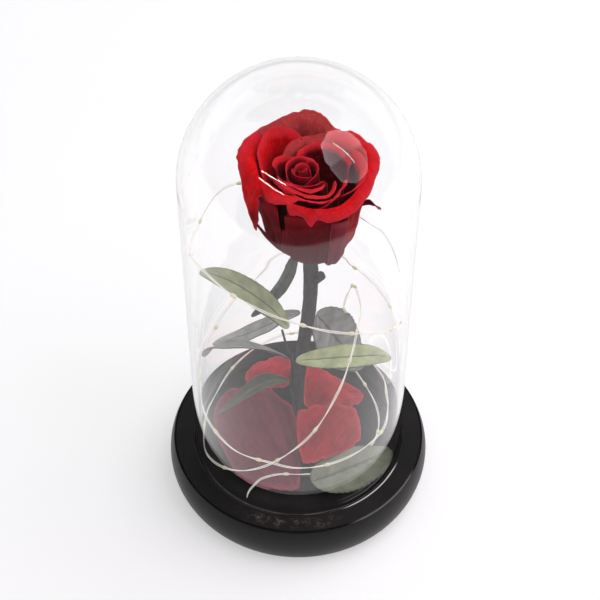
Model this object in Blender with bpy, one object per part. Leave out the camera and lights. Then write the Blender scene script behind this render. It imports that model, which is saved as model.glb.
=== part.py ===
"""A preserved rose standing under a glass dome, with a fine string of lamps wound inside the glass.

Lengths in the tables are millimetres and angles are degrees; everything is scaled to metres as it is built.
+Z is up, the front faces -Y, and the origin is the middle of the base's underside.
"""

import math
from collections import namedtuple

import bmesh
import bpy
from mathutils import Matrix, Vector

MM = 0.001

# Case
BASE_RADIUS = 60.0
BASE_HEIGHT = 20.5
EDGE_BULGE = 21.0         # radius of the rounded side
EDGE_MIDDLE = 11.0        # height where the side is widest
EDGE_DROP = 0.3           # the rounded side starts this far below the flat top
GROOVE_RADIUS = 57.3      # fine groove between the flat top and the rounded side
GROOVE_WIDTH = 0.5
GROOVE_DEPTH = 0.8
RECESS_RADIUS = 48.5
RECESS_CHAMFER = 0.3
RECESS_DEPTH = 2.2
FLOOR = BASE_HEIGHT - RECESS_DEPTH
GLASS_RADIUS = 47.5
GLASS_WALL = 2.0
GLASS_STRAIGHT = 174.6    # height where the wall turns into the half sphere
TOUCH = 0.3               # gap left between pieces that touch
SOCKET_RADIUS = 3.3
SOCKET_DEPTH = 6.0
WIRE_HOLE = Vector((-22.8, -36.2, 0.0))
WIRE_HOLE_RADIUS = 1.3
WIRE_HOLE_DEPTH = 9.0
ROUND_STEPS = 36          # facets round the base and the glass
EDGE_STEPS = 6

# Rose head
AXIS_FOOT = 4.6           # x of the head's axis at the hip
AXIS_BUD = 1.1            # x of the axis at the top, for the middle of the bud
AXIS_CUP = 3.6            # x of the axis at the top, for the outer petals
HIP_HEIGHT = 142.5
HEAD_HEIGHT = 38.0        # from the hip to the rim
CORE_TOP = 164.0
BUD_TOP = 179.5
BUD_LAYER = 8.0           # layers inside this one sprout from the top of the core
CUP_LAYER = 18.0          # layers outside this one follow the cup's own axis
FALL_PER_LAYER = 0.20     # how much lower each outer layer stands
TILT_PER_LAYER = 0.14     # how much the rim rises towards the back
PETAL_THICKNESS = 0.45
SEPAL_THICKNESS = 0.5
HANG = math.radians(190)  # a lip bends down this far from upright, then hangs straight
FOOT_RADIUS = 0.6         # the innermost layer's foot on the core
FOOT_STEP = 0.66          # growth of the foot per layer inside BUD_LAYER
OUTER_STEP = 0.16         # and outside it
LAST_LAYER = 28.0
FULL_WIDTH_AT = 0.6       # part of its height where a petal reaches its full width
SEPAL_TAPER = 0.8
BELLY_AT = 0.45           # part of its height where a petal stands out furthest
FOOT_SLOPE = 0.42         # part of the way out that a petal makes along its foot
SIDE_RISE = 0.16          # how much higher the sides of a petal start than its middle

# Foliage and string
LEAF_THICKNESS = 0.45
STRING_RADIUS = 0.5
STRING_POINTS = 76

Petal = namedtuple(
    "Petal", "name facing half layer twist top sag wall lip curl shoulder waist"
)

# facing and half: the middle direction and half the width, in degrees round the head.
# layer and twist: crest radius, and how much further out its left edge lies than its middle.
# top and sag: height over the common rim, and how far the rim falls at the sides.
# wall: how much of its layer's wall the petal covers, from its foot towards the rim.
# lip and curl: length of the edge that bends outwards, and the radius of that bend.
# shoulder: how far the outline falls at the sides. waist: width of the foot.
PETALS = (
    Petal("petal_bud_1", -60, 160, 1.75, 0.55, 1.6, 0.0, 1, 0.0, 3.0, 0.10, 1.00),
    Petal("petal_bud_2", 100, 108, 3.15, 0.30, 1.8, 0.6, 1, 0.0, 3.0, 0.12, 0.90),
    Petal("petal_bud_3", -120, 106, 4.40, 0.20, 1.9, 0.6, 1, 0.4, 2.0, 0.12, 0.90),
    Petal("petal_bud_4", 0, 100, 5.60, 0.20, 1.6, 0.8, 1, 0.8, 2.0, 0.14, 0.85),
    Petal("petal_bud_5", 140, 90, 6.85, 0.20, 1.4, 0.8, 1, 1.2, 2.0, 0.16, 0.85),
    Petal("petal_inner_1", -90, 78, 8.10, 0.20, 1.4, 0.8, 1, 1.4, 1.8, 0.16, 0.80),
    Petal("petal_inner_2", 58, 70, 9.35, 0.10, 0.4, 1.0, 1, 1.6, 2.0, 0.18, 0.80),
    Petal("petal_inner_3", 174, 60, 10.80, 0.20, 0.9, 1.5, 1, 4.2, 3.4, 0.16, 0.80),
    Petal("petal_inner_4", -76, 70, 12.25, 0.10, 0.9, 1.2, 1, 2.0, 2.0, 0.18, 0.80),
    Petal("petal_inner_5", -104, 66, 13.60, 0.20, 0.9, 1.4, 1, 2.4, 2.4, 0.18, 0.80),
    Petal("petal_inner_6", -58, 64, 14.90, 0.20, 0.7, 1.6, 1, 2.2, 2.2, 0.20, 0.75),
    Petal("petal_inner_7", -96, 60, 16.30, 0.20, 0.4, 1.8, 1, 2.2, 2.2, 0.20, 0.75),
    Petal("petal_inner_8", -84, 50, 17.65, 0.10, 0.0, 1.8, 1, 1.8, 2.2, 0.20, 0.75),
    Petal("petal_inner_9", 90, 46, 16.30, 0.20, 3.0, 1.6, 1, 2.6, 4.0, 0.16, 0.70),
    Petal("petal_inner_10", 148, 50, 18.05, 0.20, 5.6, 1.6, 1, 3.4, 5.0, 0.16, 0.70),
    Petal("petal_inner_11", 6, 34, 17.50, 0.10, -0.6, 2.0, 1, 0.6, 3.0, 0.22, 0.70),
    Petal("petal_cup_1", -40, 76, 19.50, 0.20, 0.2, 0.6, 1, 12.8, 4.8, 0.03, 0.80),
    Petal("petal_cup_2", -124, 30, 21.10, 0.00, -1.4, 1.0, 1, 8.0, 3.8, 0.10, 0.80),
    Petal("petal_cup_3", 158, 40, 21.60, 0.20, 4.6, 4.0, 1, 24.0, 3.2, 0.14, 0.80),
    Petal("petal_cup_4", 108, 64, 19.95, 0.10, 10.6, 5.2, 1, 4.5, 7.0, 0.05, 0.80),
    Petal("petal_cup_5", 67, 31, 21.80, 0.20, -3.0, 1.6, 1, 10.0, 5.8, 0.06, 0.80),
    Petal("petal_guard_1", -134, 28, 26.40, 0.20, -0.8, 1.0, 1, 0.0, 4.0, 0.10, 0.75),
    Petal("petal_guard_2", -94, 31, 24.20, 0.20, 0.4, 1.0, 1, 0.0, 4.0, 0.10, 0.75),
    Petal("petal_guard_3", -44, 33, 26.40, 0.20, 0.6, 1.0, 1, 0.0, 4.0, 0.10, 0.72),
    Petal("petal_guard_4", 8, 30, 24.10, 0.20, 0.0, 1.0, 1, 0.0, 4.0, 0.12, 0.85),
    Petal("petal_guard_5", 58, 34, 26.60, 0.20, -3.0, 1.0, 1, 0.0, 4.0, 0.12, 0.85),
    Petal("petal_guard_6", 112, 36, 24.70, 0.20, -1.0, 1.0, 1, 0.0, 4.0, 0.12, 0.85),
    Petal("sepal_right", 6, 8, 28.60, 0.00, 0.0, 0.0, 0.72, 9.0, 3.0, 0.00, 1.00),
    Petal("sepal_left", 213, 7, 28.60, 0.00, 0.0, 0.0, 0.74, 2.5, 8.0, 0.00, 1.00),
    Petal("sepal_front", -130, 8, 28.60, 0.00, 0.0, 0.0, 0.46, 2.5, 8.0, 0.00, 1.00),
)

Leaf = namedtuple("Leaf", "name spine half facing fold")

# spine: the midrib from the stalk to the tip. half: half the width. facing: where the upper face looks.
# fold: how far the two halves rise from the midrib.
LEAVES = (
    Leaf(
        "leaf_lit",
        ((-4.4, -7.0, 99.4), (-9.4, -7.2, 108.6), (-15.2, -7.6, 116.2), (-21.8, -7.0, 122.2),
         (-29.0, -5.4, 126.2), (-35.4, -4.2, 128.2), (-40.6, -3.4, 128.4)),
        6.2, (0.50, -0.45, 0.74), 0.16,
    ),
    Leaf(
        "leaf_serrated",
        ((0.6, 2.9, 97.6), (-6.7, 5.0, 92.0), (-14.6, 6.0, 85.8), (-22.7, 7.0, 79.6),
         (-30.5, 7.0, 76.2), (-38.3, 6.0, 74.0)),
        4.8, (-0.30, 0.0, 0.95), 0.20,
    ),
    Leaf(
        "leaf_arching",
        ((-4.0, -4.8, 76.6), (-11.9, -5.4, 82.0), (-20.9, -6.2, 86.3), (-30.3, -6.2, 86.9),
         (-37.6, -5.2, 83.6), (-41.4, -4.2, 77.4)),
        5.4, (0.0, 0.5, 0.85), 0.20,
    ),
    Leaf(
        "leaf_right",
        ((-1.0, -6.2, 77.4), (8.4, -8.8, 81.2), (17.8, -11.0, 84.8), (26.4, -12.6, 87.4),
         (33.8, -12.8, 88.0), (39.2, -11.8, 85.4)),
        5.8, (0.0, -0.2, 0.98), 0.18,
    ),
    Leaf(
        "leaf_hanging",
        ((7.6, 3.8, 96.0), (12.6, 5.6, 86.0), (17.6, 7.8, 74.6), (23.4, 10.2, 63.0), (30.0, 12.0, 53.0)),
        10.4, (0.15, -0.55, 0.80), 0.10,
    ),
    Leaf(
        "leaf_small",
        ((-4.9, -4.8, 62.2), (-11.9, -6.2, 63.8), (-19.0, -7.0, 60.6), (-26.4, -6.0, 51.2),
         (-33.0, -3.4, 41.2), (-37.2, -0.6, 33.8)),
        5.8, (-0.30, 0.15, 0.95), 0.20,
    ),
    Leaf(
        "leaf_narrow",
        ((0.6, 4.6, 137.0), (-1.6, 4.4, 127.7), (-5.4, 5.2, 116.6), (-9.4, 6.6, 107.0),
         (-15.4, 8.4, 96.0), (-20.6, 10.6, 87.4)),
        3.0, (0.80, 0.35, 0.45), 0.20,
    ),
    Leaf(
        "leaf_fallen",
        ((6.0, -30.2, 22.2), (14.0, -27.0, 22.2), (24.0, -22.4, 22.6), (33.6, -17.4, 22.4),
         (41.6, -12.4, 22.6)),
        11.0, (0.0, 0.0, 1.0), -0.06,
    ),
)

FallenPetal = namedtuple("FallenPetal", "name grid")

# Three rows of three points each; the patch passes through them all.
FALLEN_PETALS = (
    FallenPetal(
        "petal_fallen_front_left",
        (((-2.4, -7.0, 43.0), (-17.0, 8.6, 38.0), (-31.0, 20.0, 27.0)),
         ((0.6, -14.0, 26.0), (-18.5, -8.4, 30.2), (-40.0, 2.6, 22.0)),
         ((1.6, -34.8, 19.6), (-12.8, -32.6, 19.3), (-27.2, -27.4, 19.6))),
    ),
    FallenPetal(
        "petal_fallen_front_right",
        (((1.4, -7.4, 43.6), (15.0, 0.2, 33.0), (29.0, 6.6, 24.6)),
         ((2.6, -14.6, 31.4), (14.4, -7.8, 28.4), (29.0, -4.6, 22.4)),
         ((3.2, -23.0, 24.6), (11.8, -16.4, 23.4), (23.4, -9.8, 21.6))),
    ),
    FallenPetal(
        "petal_fallen_back_right",
        (((3.8, 34.0, 29.0), (22.0, 22.6, 27.6), (32.0, 17.6, 23.6)),
         ((2.6, 18.0, 34.4), (15.0, 13.0, 30.6), (27.8, 12.0, 25.0)),
         ((1.6, 6.6, 31.0), (10.6, 7.8, 25.4), (22.0, 10.0, 21.4))),
    ),
    FallenPetal(
        "petal_fallen_back_left",
        (((-24.2, 34.4, 22.4), (-14.0, 39.2, 25.6), (-4.0, 40.0, 24.0)),
         ((-25.2, 29.0, 24.4), (-14.0, 28.6, 29.6), (-3.2, 29.0, 30.4)),
         ((-23.4, 22.6, 24.0), (-13.8, 19.4, 29.0), (-3.2, 18.0, 31.4))),
    ),
)

# The stem's middle line with its radius, and the thin stalk that carries the leaves.
STEM_LINE = ((-0.9, 0, 12.6, 2.8), (-0.6, 0, 30, 2.7), (-0.2, 0, 45, 2.6), (0.7, 0, 63, 2.7),
             (2.4, 0, 83, 2.9), (4.0, 0, 98, 3.0), (4.8, 0, 110, 3.0), (5.0, 0, 124, 3.1),
             (4.8, 0, 132, 3.3), (4.6, 0, 138.2, 4.4))
SHOOT_FOOT = Vector((6.2, -0.6, 121.4))
SHOOT_TIP = Vector((9.4, -2.8, 126.4))
SHOOT_RADIUS = 2.1
STALK_LINE = ((0.4, -4.7, 18.9, 0.55), (-0.9, -4.6, 34, 0.55), (-2.1, -4.3, 47.4, 0.55),
              (-3.6, -4.3, 62, 0.6), (-2.5, -4.6, 76, 0.7), (-4.9, -5.2, 85, 0.55),
              (-7.0, -6.0, 96.6, 0.5))

# The light string's route from its hole in the base to its free end, as turns round the glass:
# angle, distance from the middle and height.
STRING_ROUTE = (
    (-122.2, 42.8, 11.0), (-122.2, 42.8, 16.0), (-122.0, 41.6, 20.4), (-121.6, 38.0, 21.6),
    (-118.5, 33.0, 23.0), (-106.0, 28.6, 24.0), (-86.0, 26.6, 22.6), (-68.0, 25.4, 19.4),
    (-38.0, 28.6, 19.6), (-12.0, 35.0, 19.8), (14.0, 39.6, 20.2), (36.0, 41.0, 23.6),
    (50.0, 39.8, 33.0), (52.0, 35.8, 48.0), (50.0, 31.0, 63.0), (47.0, 27.6, 76.0),
    (33.0, 24.8, 86.6), (12.6, 19.9, 99.6), (1.4, 20.6, 112.0), (-2.4, 23.2, 118.2),
    (-13.0, 26.6, 110.0), (-30.2, 27.7, 103.2), (-49.0, 31.8, 97.0), (-64.6, 37.8, 90.0),
    (-80.6, 42.5, 74.5), (-91.3, 44.3, 65.0), (-107.0, 44.3, 50.6), (-121.6, 44.3, 40.4),
    (-134.8, 44.3, 33.6), (-150.0, 44.3, 27.6), (-165.8, 44.3, 23.8), (-188.4, 44.3, 24.8),
    (-204.6, 44.3, 24.0), (-224.0, 44.3, 30.0), (-248.6, 44.3, 36.4), (-267.4, 44.3, 39.8),
    (-300.0, 44.2, 40.0), (-333.0, 43.2, 40.4), (-360.0, 40.0, 49.0), (-378.4, 41.4, 54.2),
    (-396.8, 44.2, 53.8), (-426.6, 44.3, 51.6), (-451.0, 43.9, 50.6), (-466.6, 42.9, 50.9),
    (-486.0, 44.3, 51.6), (-503.0, 44.3, 54.0), (-526.8, 44.0, 57.0), (-545.4, 44.3, 63.6),
    (-564.6, 44.3, 65.6), (-581.6, 44.3, 72.0), (-601.4, 44.3, 80.0), (-618.8, 44.3, 90.8),
    (-647.2, 44.3, 94.0), (-675.4, 44.3, 90.6), (-694.8, 44.3, 88.2), (-715.6, 43.4, 91.4),
    (-739.7, 43.8, 112.4), (-749.0, 44.3, 116.0), (-763.0, 44.3, 121.6), (-777.0, 44.3, 128.8),
    (-799.4, 44.3, 138.0), (-812.0, 44.3, 142.6), (-828.4, 44.3, 147.0), (-841.0, 44.3, 149.6),
    (-858.8, 44.3, 152.2), (-870.0, 44.3, 152.0), (-882.0, 44.1, 149.0),
    (-899.6, 44.1, 141.4), (-922.8, 44.3, 140.4), (-942.2, 44.3, 143.4), (-963.0, 44.3, 139.4),
    (-991.0, 44.3, 131.0), (-1029.2, 44.3, 122.4), (-1050.4, 44.3, 123.2), (-1069.6, 44.0, 117.4),
)


def clear_scene():
    for old in list(bpy.data.objects):
        bpy.data.objects.remove(old, do_unlink=True)


def material(name, colour, roughness, metallic=0.0, alpha=1.0):
    made = bpy.data.materials.new(name)
    made.use_nodes = True
    shader = made.node_tree.nodes["Principled BSDF"]
    shader.inputs["Base Color"].default_value = (*colour, 1.0)
    shader.inputs["Roughness"].default_value = roughness
    shader.inputs["Metallic"].default_value = metallic
    shader.inputs["Alpha"].default_value = alpha
    made.diffuse_color = (*colour, alpha)
    return made


def add_object(name, mesh_data, finish, smooth_angle=40.0):
    """An object from a bmesh whose lengths are millimetres."""
    bmesh.ops.scale(mesh_data, vec=(MM, MM, MM), verts=mesh_data.verts)
    bmesh.ops.recalc_face_normals(mesh_data, faces=mesh_data.faces)
    mesh = bpy.data.meshes.new(name)
    mesh_data.to_mesh(mesh)
    mesh_data.free()
    mesh.shade_smooth()
    mesh.set_sharp_from_angle(angle=math.radians(smooth_angle))
    made = bpy.data.objects.new(name, mesh)
    made.data.materials.append(finish)
    bpy.context.collection.objects.link(made)
    return made


def turned(profile, steps=ROUND_STEPS):
    """A bmesh turned round +Z from an outline of (radius, height) points."""
    shape = bmesh.new()
    points = [shape.verts.new((radius, 0.0, height)) for radius, height in profile]
    edges = [shape.edges.new(pair) for pair in zip(points, points[1:])]
    bmesh.ops.spin(
        shape, geom=points + edges, cent=(0, 0, 0), axis=(0, 0, 1), angle=2 * math.pi,
        steps=steps, use_merge=True,
    )
    bmesh.ops.remove_doubles(shape, verts=shape.verts, dist=0.001)
    return shape


def arc(centre, radius, start, end, steps):
    """Points of (radius, height) on an arc; angles from the horizontal, in degrees."""
    turns = [math.radians(start + (end - start) * step / steps) for step in range(steps + 1)]
    return [
        (centre[0] + radius * math.cos(turn), centre[1] + radius * math.sin(turn)) for turn in turns
    ]


def swept(line, sides):
    """A bmesh tube with closed ends through points of (x, y, z, radius)."""
    shape = bmesh.new()
    rings = []
    centres = [Vector(point[:3]) for point in line]
    for index, (centre, point) in enumerate(zip(centres, line)):
        before = centres[max(index - 1, 0)]
        after = centres[min(index + 1, len(line) - 1)]
        turn = (after - before).to_track_quat("Z", "X")
        place = Matrix.Translation(centre) @ turn.to_matrix().to_4x4()
        ring = bmesh.ops.create_circle(shape, segments=sides, radius=point[3], matrix=place)
        rings.append(ring["verts"])
    for lower, upper in zip(rings, rings[1:]):
        loop = {edge for vert in lower + upper for edge in vert.link_edges}
        loop = [edge for edge in loop if len(edge.link_faces) < 2]
        loop = [
            edge for edge in loop
            if all(vert in lower for vert in edge.verts) or all(vert in upper for vert in edge.verts)
        ]
        bmesh.ops.bridge_loops(shape, edges=loop)
    bmesh.ops.holes_fill(shape, edges=shape.edges, sides=0)
    return shape


def sheet(place, across, along, thickness):
    """A closed thin sheet; place(u, v) gives its middle surface, with u and v from -1 to 1."""
    shape = bmesh.new()
    bmesh.ops.create_grid(shape, x_segments=across, y_segments=along, size=1.0)
    for vert in shape.verts:
        vert.co = place(vert.co.x, vert.co.y)
    shape.normal_update()
    for vert, offset in [(vert, vert.normal * thickness / 2) for vert in shape.verts]:
        vert.co += offset
    bmesh.ops.solidify(shape, geom=shape.faces[:], thickness=thickness)
    return shape


def smooth_line(points, at):
    """A point on the smooth curve through all the points; at runs from 0 to 1."""
    spans = len(points) - 1
    span = min(int(at * spans), spans - 1)
    t = at * spans - span
    before = Vector(points[max(span - 1, 0)])
    start = Vector(points[span])
    end = Vector(points[span + 1])
    after = Vector(points[min(span + 2, spans)])
    return 0.5 * (
        2 * start + (end - before) * t
        + (2 * before - 5 * start + 4 * end - after) * t * t
        + (3 * start - before - 3 * end + after) * t * t * t
    )


def bezier(corners, t):
    """A point on the curve with four corners, and its direction there."""
    a, b, c, d = corners
    s = 1.0 - t
    point = a * s ** 3 + b * (3 * s * s * t) + c * (3 * s * t * t) + d * t ** 3
    slope = (b - a) * (s * s) + (c - b) * (2 * s * t) + (d - c) * (t * t)
    return point, slope


def ease(value):
    """0 below 0, 1 above 1, smooth between."""
    value = min(max(value, 0.0), 1.0)
    return value * value * (3.0 - 2.0 * value)


def petal_foot(layer):
    """Where a layer of the head leaves the core: radius and height."""
    bud = min(layer, BUD_LAYER)
    outer = layer - bud
    return FOOT_RADIUS + FOOT_STEP * bud + OUTER_STEP * outer, CORE_TOP - 0.5 * bud - outer


def head_point(layer, turn, radius, height):
    """A point of the head from its layer, its angle and its place in that layer's profile."""
    top_axis = AXIS_BUD + (AXIS_CUP - AXIS_BUD) * ease(layer / CUP_LAYER)
    lean = (height - HIP_HEIGHT) / HEAD_HEIGHT
    axis = AXIS_FOOT + (top_axis - AXIS_FOOT) * lean
    return Vector((axis + radius * math.cos(turn), radius * math.sin(turn), height))


def petal_point(petal, u, v):
    """A point of a petal's middle surface; u runs across it, v from its foot to its edge."""
    rise = (v + 1.0) / 2.0
    width = petal.waist + (1.0 - petal.waist) * ease(rise / FULL_WIDTH_AT)
    if petal.name.startswith("sepal"):
        width = 1.0 - SEPAL_TAPER * rise
    turn = math.radians(petal.facing + petal.half * u * width)
    layer = petal.layer + petal.twist * u
    crest = (
        BUD_TOP - FALL_PER_LAYER * layer + TILT_PER_LAYER * layer * math.sin(turn)
        + petal.top - petal.sag * u * u
    )
    foot_radius, foot_height = petal_foot(layer)
    crest_radius = layer - 0.3 * max(0.0, layer - 22.0)
    belly_radius = 1.04 * layer + 0.35 - 0.6 * max(0.0, layer - 18.0)
    dip = 1.0 - 2.5 * ease((layer - BUD_LAYER) / 6.0)
    corners = (
        Vector((foot_radius, foot_height)),
        Vector((foot_radius + FOOT_SLOPE * (layer - foot_radius), foot_height + dip)),
        Vector((belly_radius, foot_height + BELLY_AT * (crest - foot_height))),
        Vector((crest_radius, crest)),
    )
    length = crest - foot_height
    reach = petal.wall + petal.lip / length
    upper = reach * (1.0 - petal.shoulder * abs(u) ** 3)
    lower = SIDE_RISE * u * u * petal.wall
    along = lower + (upper - lower) * rise
    spot, slope = bezier(corners, min(along, petal.wall))
    if along > petal.wall:
        start = math.atan2(slope.x, slope.y)
        past_rim = (along - petal.wall) * length
        bend = min(start + past_rim / petal.curl, HANG)
        hanging = past_rim - (bend - start) * petal.curl
        spot += petal.curl * Vector(
            (math.cos(start) - math.cos(bend), math.sin(bend) - math.sin(start))
        )
        spot += hanging * Vector((math.sin(bend), math.cos(bend)))
    return head_point(layer, turn, spot.x, spot.y)


def add_petal(petal, finish):
    across = max(4, round(petal.half / 13))
    along = 7 if petal.lip > 9.0 else 6 if petal.lip > 3.0 else 4
    thickness = PETAL_THICKNESS
    if petal.name.startswith("sepal"):
        across = 2
        along = 6
        thickness = SEPAL_THICKNESS
    shape = sheet(lambda u, v: petal_point(petal, u, v), across, along, thickness)
    return add_object(petal.name, shape, finish)


def add_core(finish):
    """The hip and the core that every petal sprouts from, following their feet."""
    layers = [0.0, 2.5, 5.0, BUD_LAYER, 12.0, 16.0, 20.0, 24.0, LAST_LAYER]
    clearance = TOUCH + PETAL_THICKNESS
    rings = []
    for layer in layers:
        radius, height = petal_foot(layer)
        if layer < BUD_LAYER:
            rings.append((layer, max(radius - 0.7, 0.3), height - clearance))
        else:
            rings.append((layer, radius - clearance, height - 0.4))
    rings.append((LAST_LAYER, 6.6, petal_foot(LAST_LAYER)[1] - 0.9))
    sides = 16
    shape = bmesh.new()
    loops = []
    for layer, radius, height in rings:
        turns = [2 * math.pi * side / sides for side in range(sides)]
        loops.append([shape.verts.new(head_point(layer, turn, radius, height)) for turn in turns])
    for upper, lower in zip(loops, loops[1:]):
        for side in range(sides):
            after = (side + 1) % sides
            shape.faces.new((upper[side], upper[after], lower[after], lower[side]))
    shape.faces.new(loops[0])
    shape.faces.new(loops[-1])
    return add_object("receptacle", shape, finish)


def leaf_point(leaf, u, v):
    """A point of a leaf's middle surface; u runs across it, v along the midrib."""
    at = (v + 1.0) / 2.0
    spot = smooth_line(leaf.spine, at)
    ahead = smooth_line(leaf.spine, min(at + 0.02, 1.0)) - smooth_line(leaf.spine, max(at - 0.02, 0.0))
    side = ahead.cross(Vector(leaf.facing)).normalized()
    up = side.cross(ahead).normalized()
    width = leaf.half * (0.08 + 0.92 * math.sin(math.pi * min(at, 0.999) ** 0.85) ** 0.8)
    return spot + side * (u * width) + up * (leaf.fold * abs(u) * width)


def add_leaf(leaf, finish):
    shape = sheet(lambda u, v: leaf_point(leaf, u, v), 4, 7, LEAF_THICKNESS)
    return add_object(leaf.name, shape, finish)


def through_three(points, t):
    """A point on the parabola through three points; t runs from 0 to 1."""
    return (
        Vector(points[0]) * ((1 - t) * (1 - 2 * t))
        + Vector(points[1]) * (4 * t * (1 - t))
        + Vector(points[2]) * (t * (2 * t - 1))
    )


def fallen_point(grid, u, v):
    """A point of a loose petal; the square of u and v is rounded off towards a disc."""
    soft = 0.75
    a = u * (1.0 - soft + soft * math.sqrt(1.0 - v * v / 2.0))
    b = v * (1.0 - soft + soft * math.sqrt(1.0 - u * u / 2.0))
    across = [through_three(row, (a + 1.0) / 2.0) for row in grid]
    return through_three(across, (b + 1.0) / 2.0)


def add_fallen_petal(fallen, finish):
    shape = sheet(lambda u, v: fallen_point(fallen.grid, u, v), 5, 5, PETAL_THICKNESS)
    return add_object(fallen.name, shape, finish)


def add_cutter(name, centre, radius, bottom, top):
    cutter = bmesh.new()
    place = Matrix.Translation((centre[0], centre[1], (bottom + top) / 2))
    bmesh.ops.create_cone(
        cutter, cap_ends=True, segments=16, radius1=radius, radius2=radius, depth=top - bottom, matrix=place
    )
    made = add_object(name, cutter, material(name, (0.5, 0.5, 0.5), 0.5))
    made.hide_render = True
    made.display_type = "WIRE"
    return made


def cut(target, cutter, operation="DIFFERENCE"):
    step = target.modifiers.new(cutter.name, "BOOLEAN")
    step.operation = operation
    step.solver = "EXACT"
    step.object = cutter


def add_base(finish):
    rim = BASE_HEIGHT - RECESS_CHAMFER
    upper = math.degrees(math.asin((BASE_HEIGHT - EDGE_DROP - EDGE_MIDDLE) / EDGE_BULGE))
    lower = -math.degrees(math.asin(EDGE_MIDDLE / EDGE_BULGE))
    shape = turned(
        [(0.0, FLOOR), (RECESS_RADIUS, FLOOR), (RECESS_RADIUS, rim)]
        + [(RECESS_RADIUS + RECESS_CHAMFER, BASE_HEIGHT), (GROOVE_RADIUS - GROOVE_WIDTH, BASE_HEIGHT)]
        + [(GROOVE_RADIUS, BASE_HEIGHT - GROOVE_DEPTH)]
        + arc((BASE_RADIUS - EDGE_BULGE, EDGE_MIDDLE), EDGE_BULGE, upper, lower, EDGE_STEPS)
        + [(0.0, 0.0)]
    )
    base = add_object("base", shape, finish)
    socket = STEM_LINE[0]
    cut(base, add_cutter("stem_socket", socket, SOCKET_RADIUS, FLOOR - SOCKET_DEPTH, BASE_HEIGHT))
    hole_bottom = FLOOR - WIRE_HOLE_DEPTH
    cut(base, add_cutter("wire_hole", WIRE_HOLE, WIRE_HOLE_RADIUS, hole_bottom, BASE_HEIGHT))
    return base


def add_dome(finish):
    foot = FLOOR + TOUCH
    inner = GLASS_RADIUS - GLASS_WALL
    lip = GLASS_WALL / 4
    centre = (0.0, GLASS_STRAIGHT)
    shape = turned(
        arc(centre, GLASS_RADIUS, 90, 0, 8)
        + [(GLASS_RADIUS, foot + lip), (GLASS_RADIUS - lip, foot), (inner + lip, foot), (inner, foot + lip)]
        + arc(centre, inner, 0, 90, 8)
    )
    return add_object("glass_dome", shape, finish)


def add_stem(finish):
    stem = add_object("stem", swept(STEM_LINE, 12), finish)
    shoot = swept(((*SHOOT_FOOT, SHOOT_RADIUS), (*SHOOT_TIP, SHOOT_RADIUS * 0.9)), 10)
    stub = add_object("side_shoot", shoot, finish)
    stub.hide_render = True
    stub.display_type = "WIRE"
    cut(stem, stub, "UNION")
    return stem


def string_point(at):
    angle, radius, height = smooth_line(STRING_ROUTE, at)
    turn = math.radians(angle)
    return Vector((radius * math.cos(turn), radius * math.sin(turn), height)) * MM


def add_string(finish):
    curve = bpy.data.curves.new("light_string", "CURVE")
    curve.dimensions = "3D"
    curve.bevel_depth = STRING_RADIUS * MM
    curve.bevel_resolution = 2
    curve.use_fill_caps = True
    spline = curve.splines.new("POLY")
    spline.points.add(STRING_POINTS - 1)
    for index, point in enumerate(spline.points):
        point.co = (*string_point(index / (STRING_POINTS - 1)), 1.0)
    curve.materials.append(finish)
    made = bpy.data.objects.new("light_string", curve)
    bpy.context.collection.objects.link(made)
    return made


def build():
    clear_scene()
    add_base(material("black_lacquer", (0.012, 0.012, 0.013), 0.28))
    add_dome(material("clear_glass", (0.95, 0.97, 0.97), 0.03, alpha=0.25))
    add_stem(material("dark_stem", (0.10, 0.10, 0.09), 0.7))
    stalk = material("leaf_stalk", (0.20, 0.22, 0.15), 0.7)
    add_object("leaf_stalk", swept(STALK_LINE, 6), stalk)
    add_core(material("hip", (0.10, 0.05, 0.04), 0.7))
    red = material("rose_petal", (0.36, 0.010, 0.014), 0.6)
    dark = material("sepal", (0.10, 0.02, 0.03), 0.7)
    for petal in PETALS:
        add_petal(petal, dark if petal.name.startswith("sepal") else red)
    green = material("leaf", (0.16, 0.18, 0.09), 0.6)
    for leaf in LEAVES:
        add_leaf(leaf, green)
    for fallen in FALLEN_PETALS:
        add_fallen_petal(fallen, red)
    add_string(material("copper_wire", (0.80, 0.74, 0.62), 0.35, metallic=0.6))


build()
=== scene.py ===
"""The preserved rose under its glass: the looks of every piece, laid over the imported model.

Lengths in the tables are millimetres and angles are degrees; each piece is scaled to metres once it is
shaped. The front faces -Y and the origin is the middle of the base's underside.
"""

import math
from collections import namedtuple

import bmesh
import bpy
from mathutils import Matrix, Vector, noise


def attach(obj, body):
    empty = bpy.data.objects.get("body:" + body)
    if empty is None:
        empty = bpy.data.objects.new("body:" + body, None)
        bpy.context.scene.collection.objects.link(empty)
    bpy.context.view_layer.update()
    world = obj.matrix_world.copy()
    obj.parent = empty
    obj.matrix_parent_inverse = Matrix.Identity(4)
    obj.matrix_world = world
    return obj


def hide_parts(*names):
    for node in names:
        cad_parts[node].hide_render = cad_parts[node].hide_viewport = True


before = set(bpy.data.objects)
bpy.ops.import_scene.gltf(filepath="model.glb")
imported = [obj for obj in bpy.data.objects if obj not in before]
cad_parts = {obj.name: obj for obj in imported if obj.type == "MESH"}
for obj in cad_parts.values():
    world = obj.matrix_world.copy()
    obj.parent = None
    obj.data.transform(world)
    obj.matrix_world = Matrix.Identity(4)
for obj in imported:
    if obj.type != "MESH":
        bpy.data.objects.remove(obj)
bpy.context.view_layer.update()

MM = 0.001
BODY = "root"

# The photograph's view: the camera's place, and how it is turned
PHOTO_SIDE = 600.0
FOCAL_PIXELS = 1380.0
SENSOR_WIDTH = 36.0
CAMERA_AT = Vector((-0.9, -401.6, 528.8))
CAMERA_DOWN = 46.34
CAMERA_RIGHT = 0.21
CAMERA_ROLL = 0.23

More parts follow.
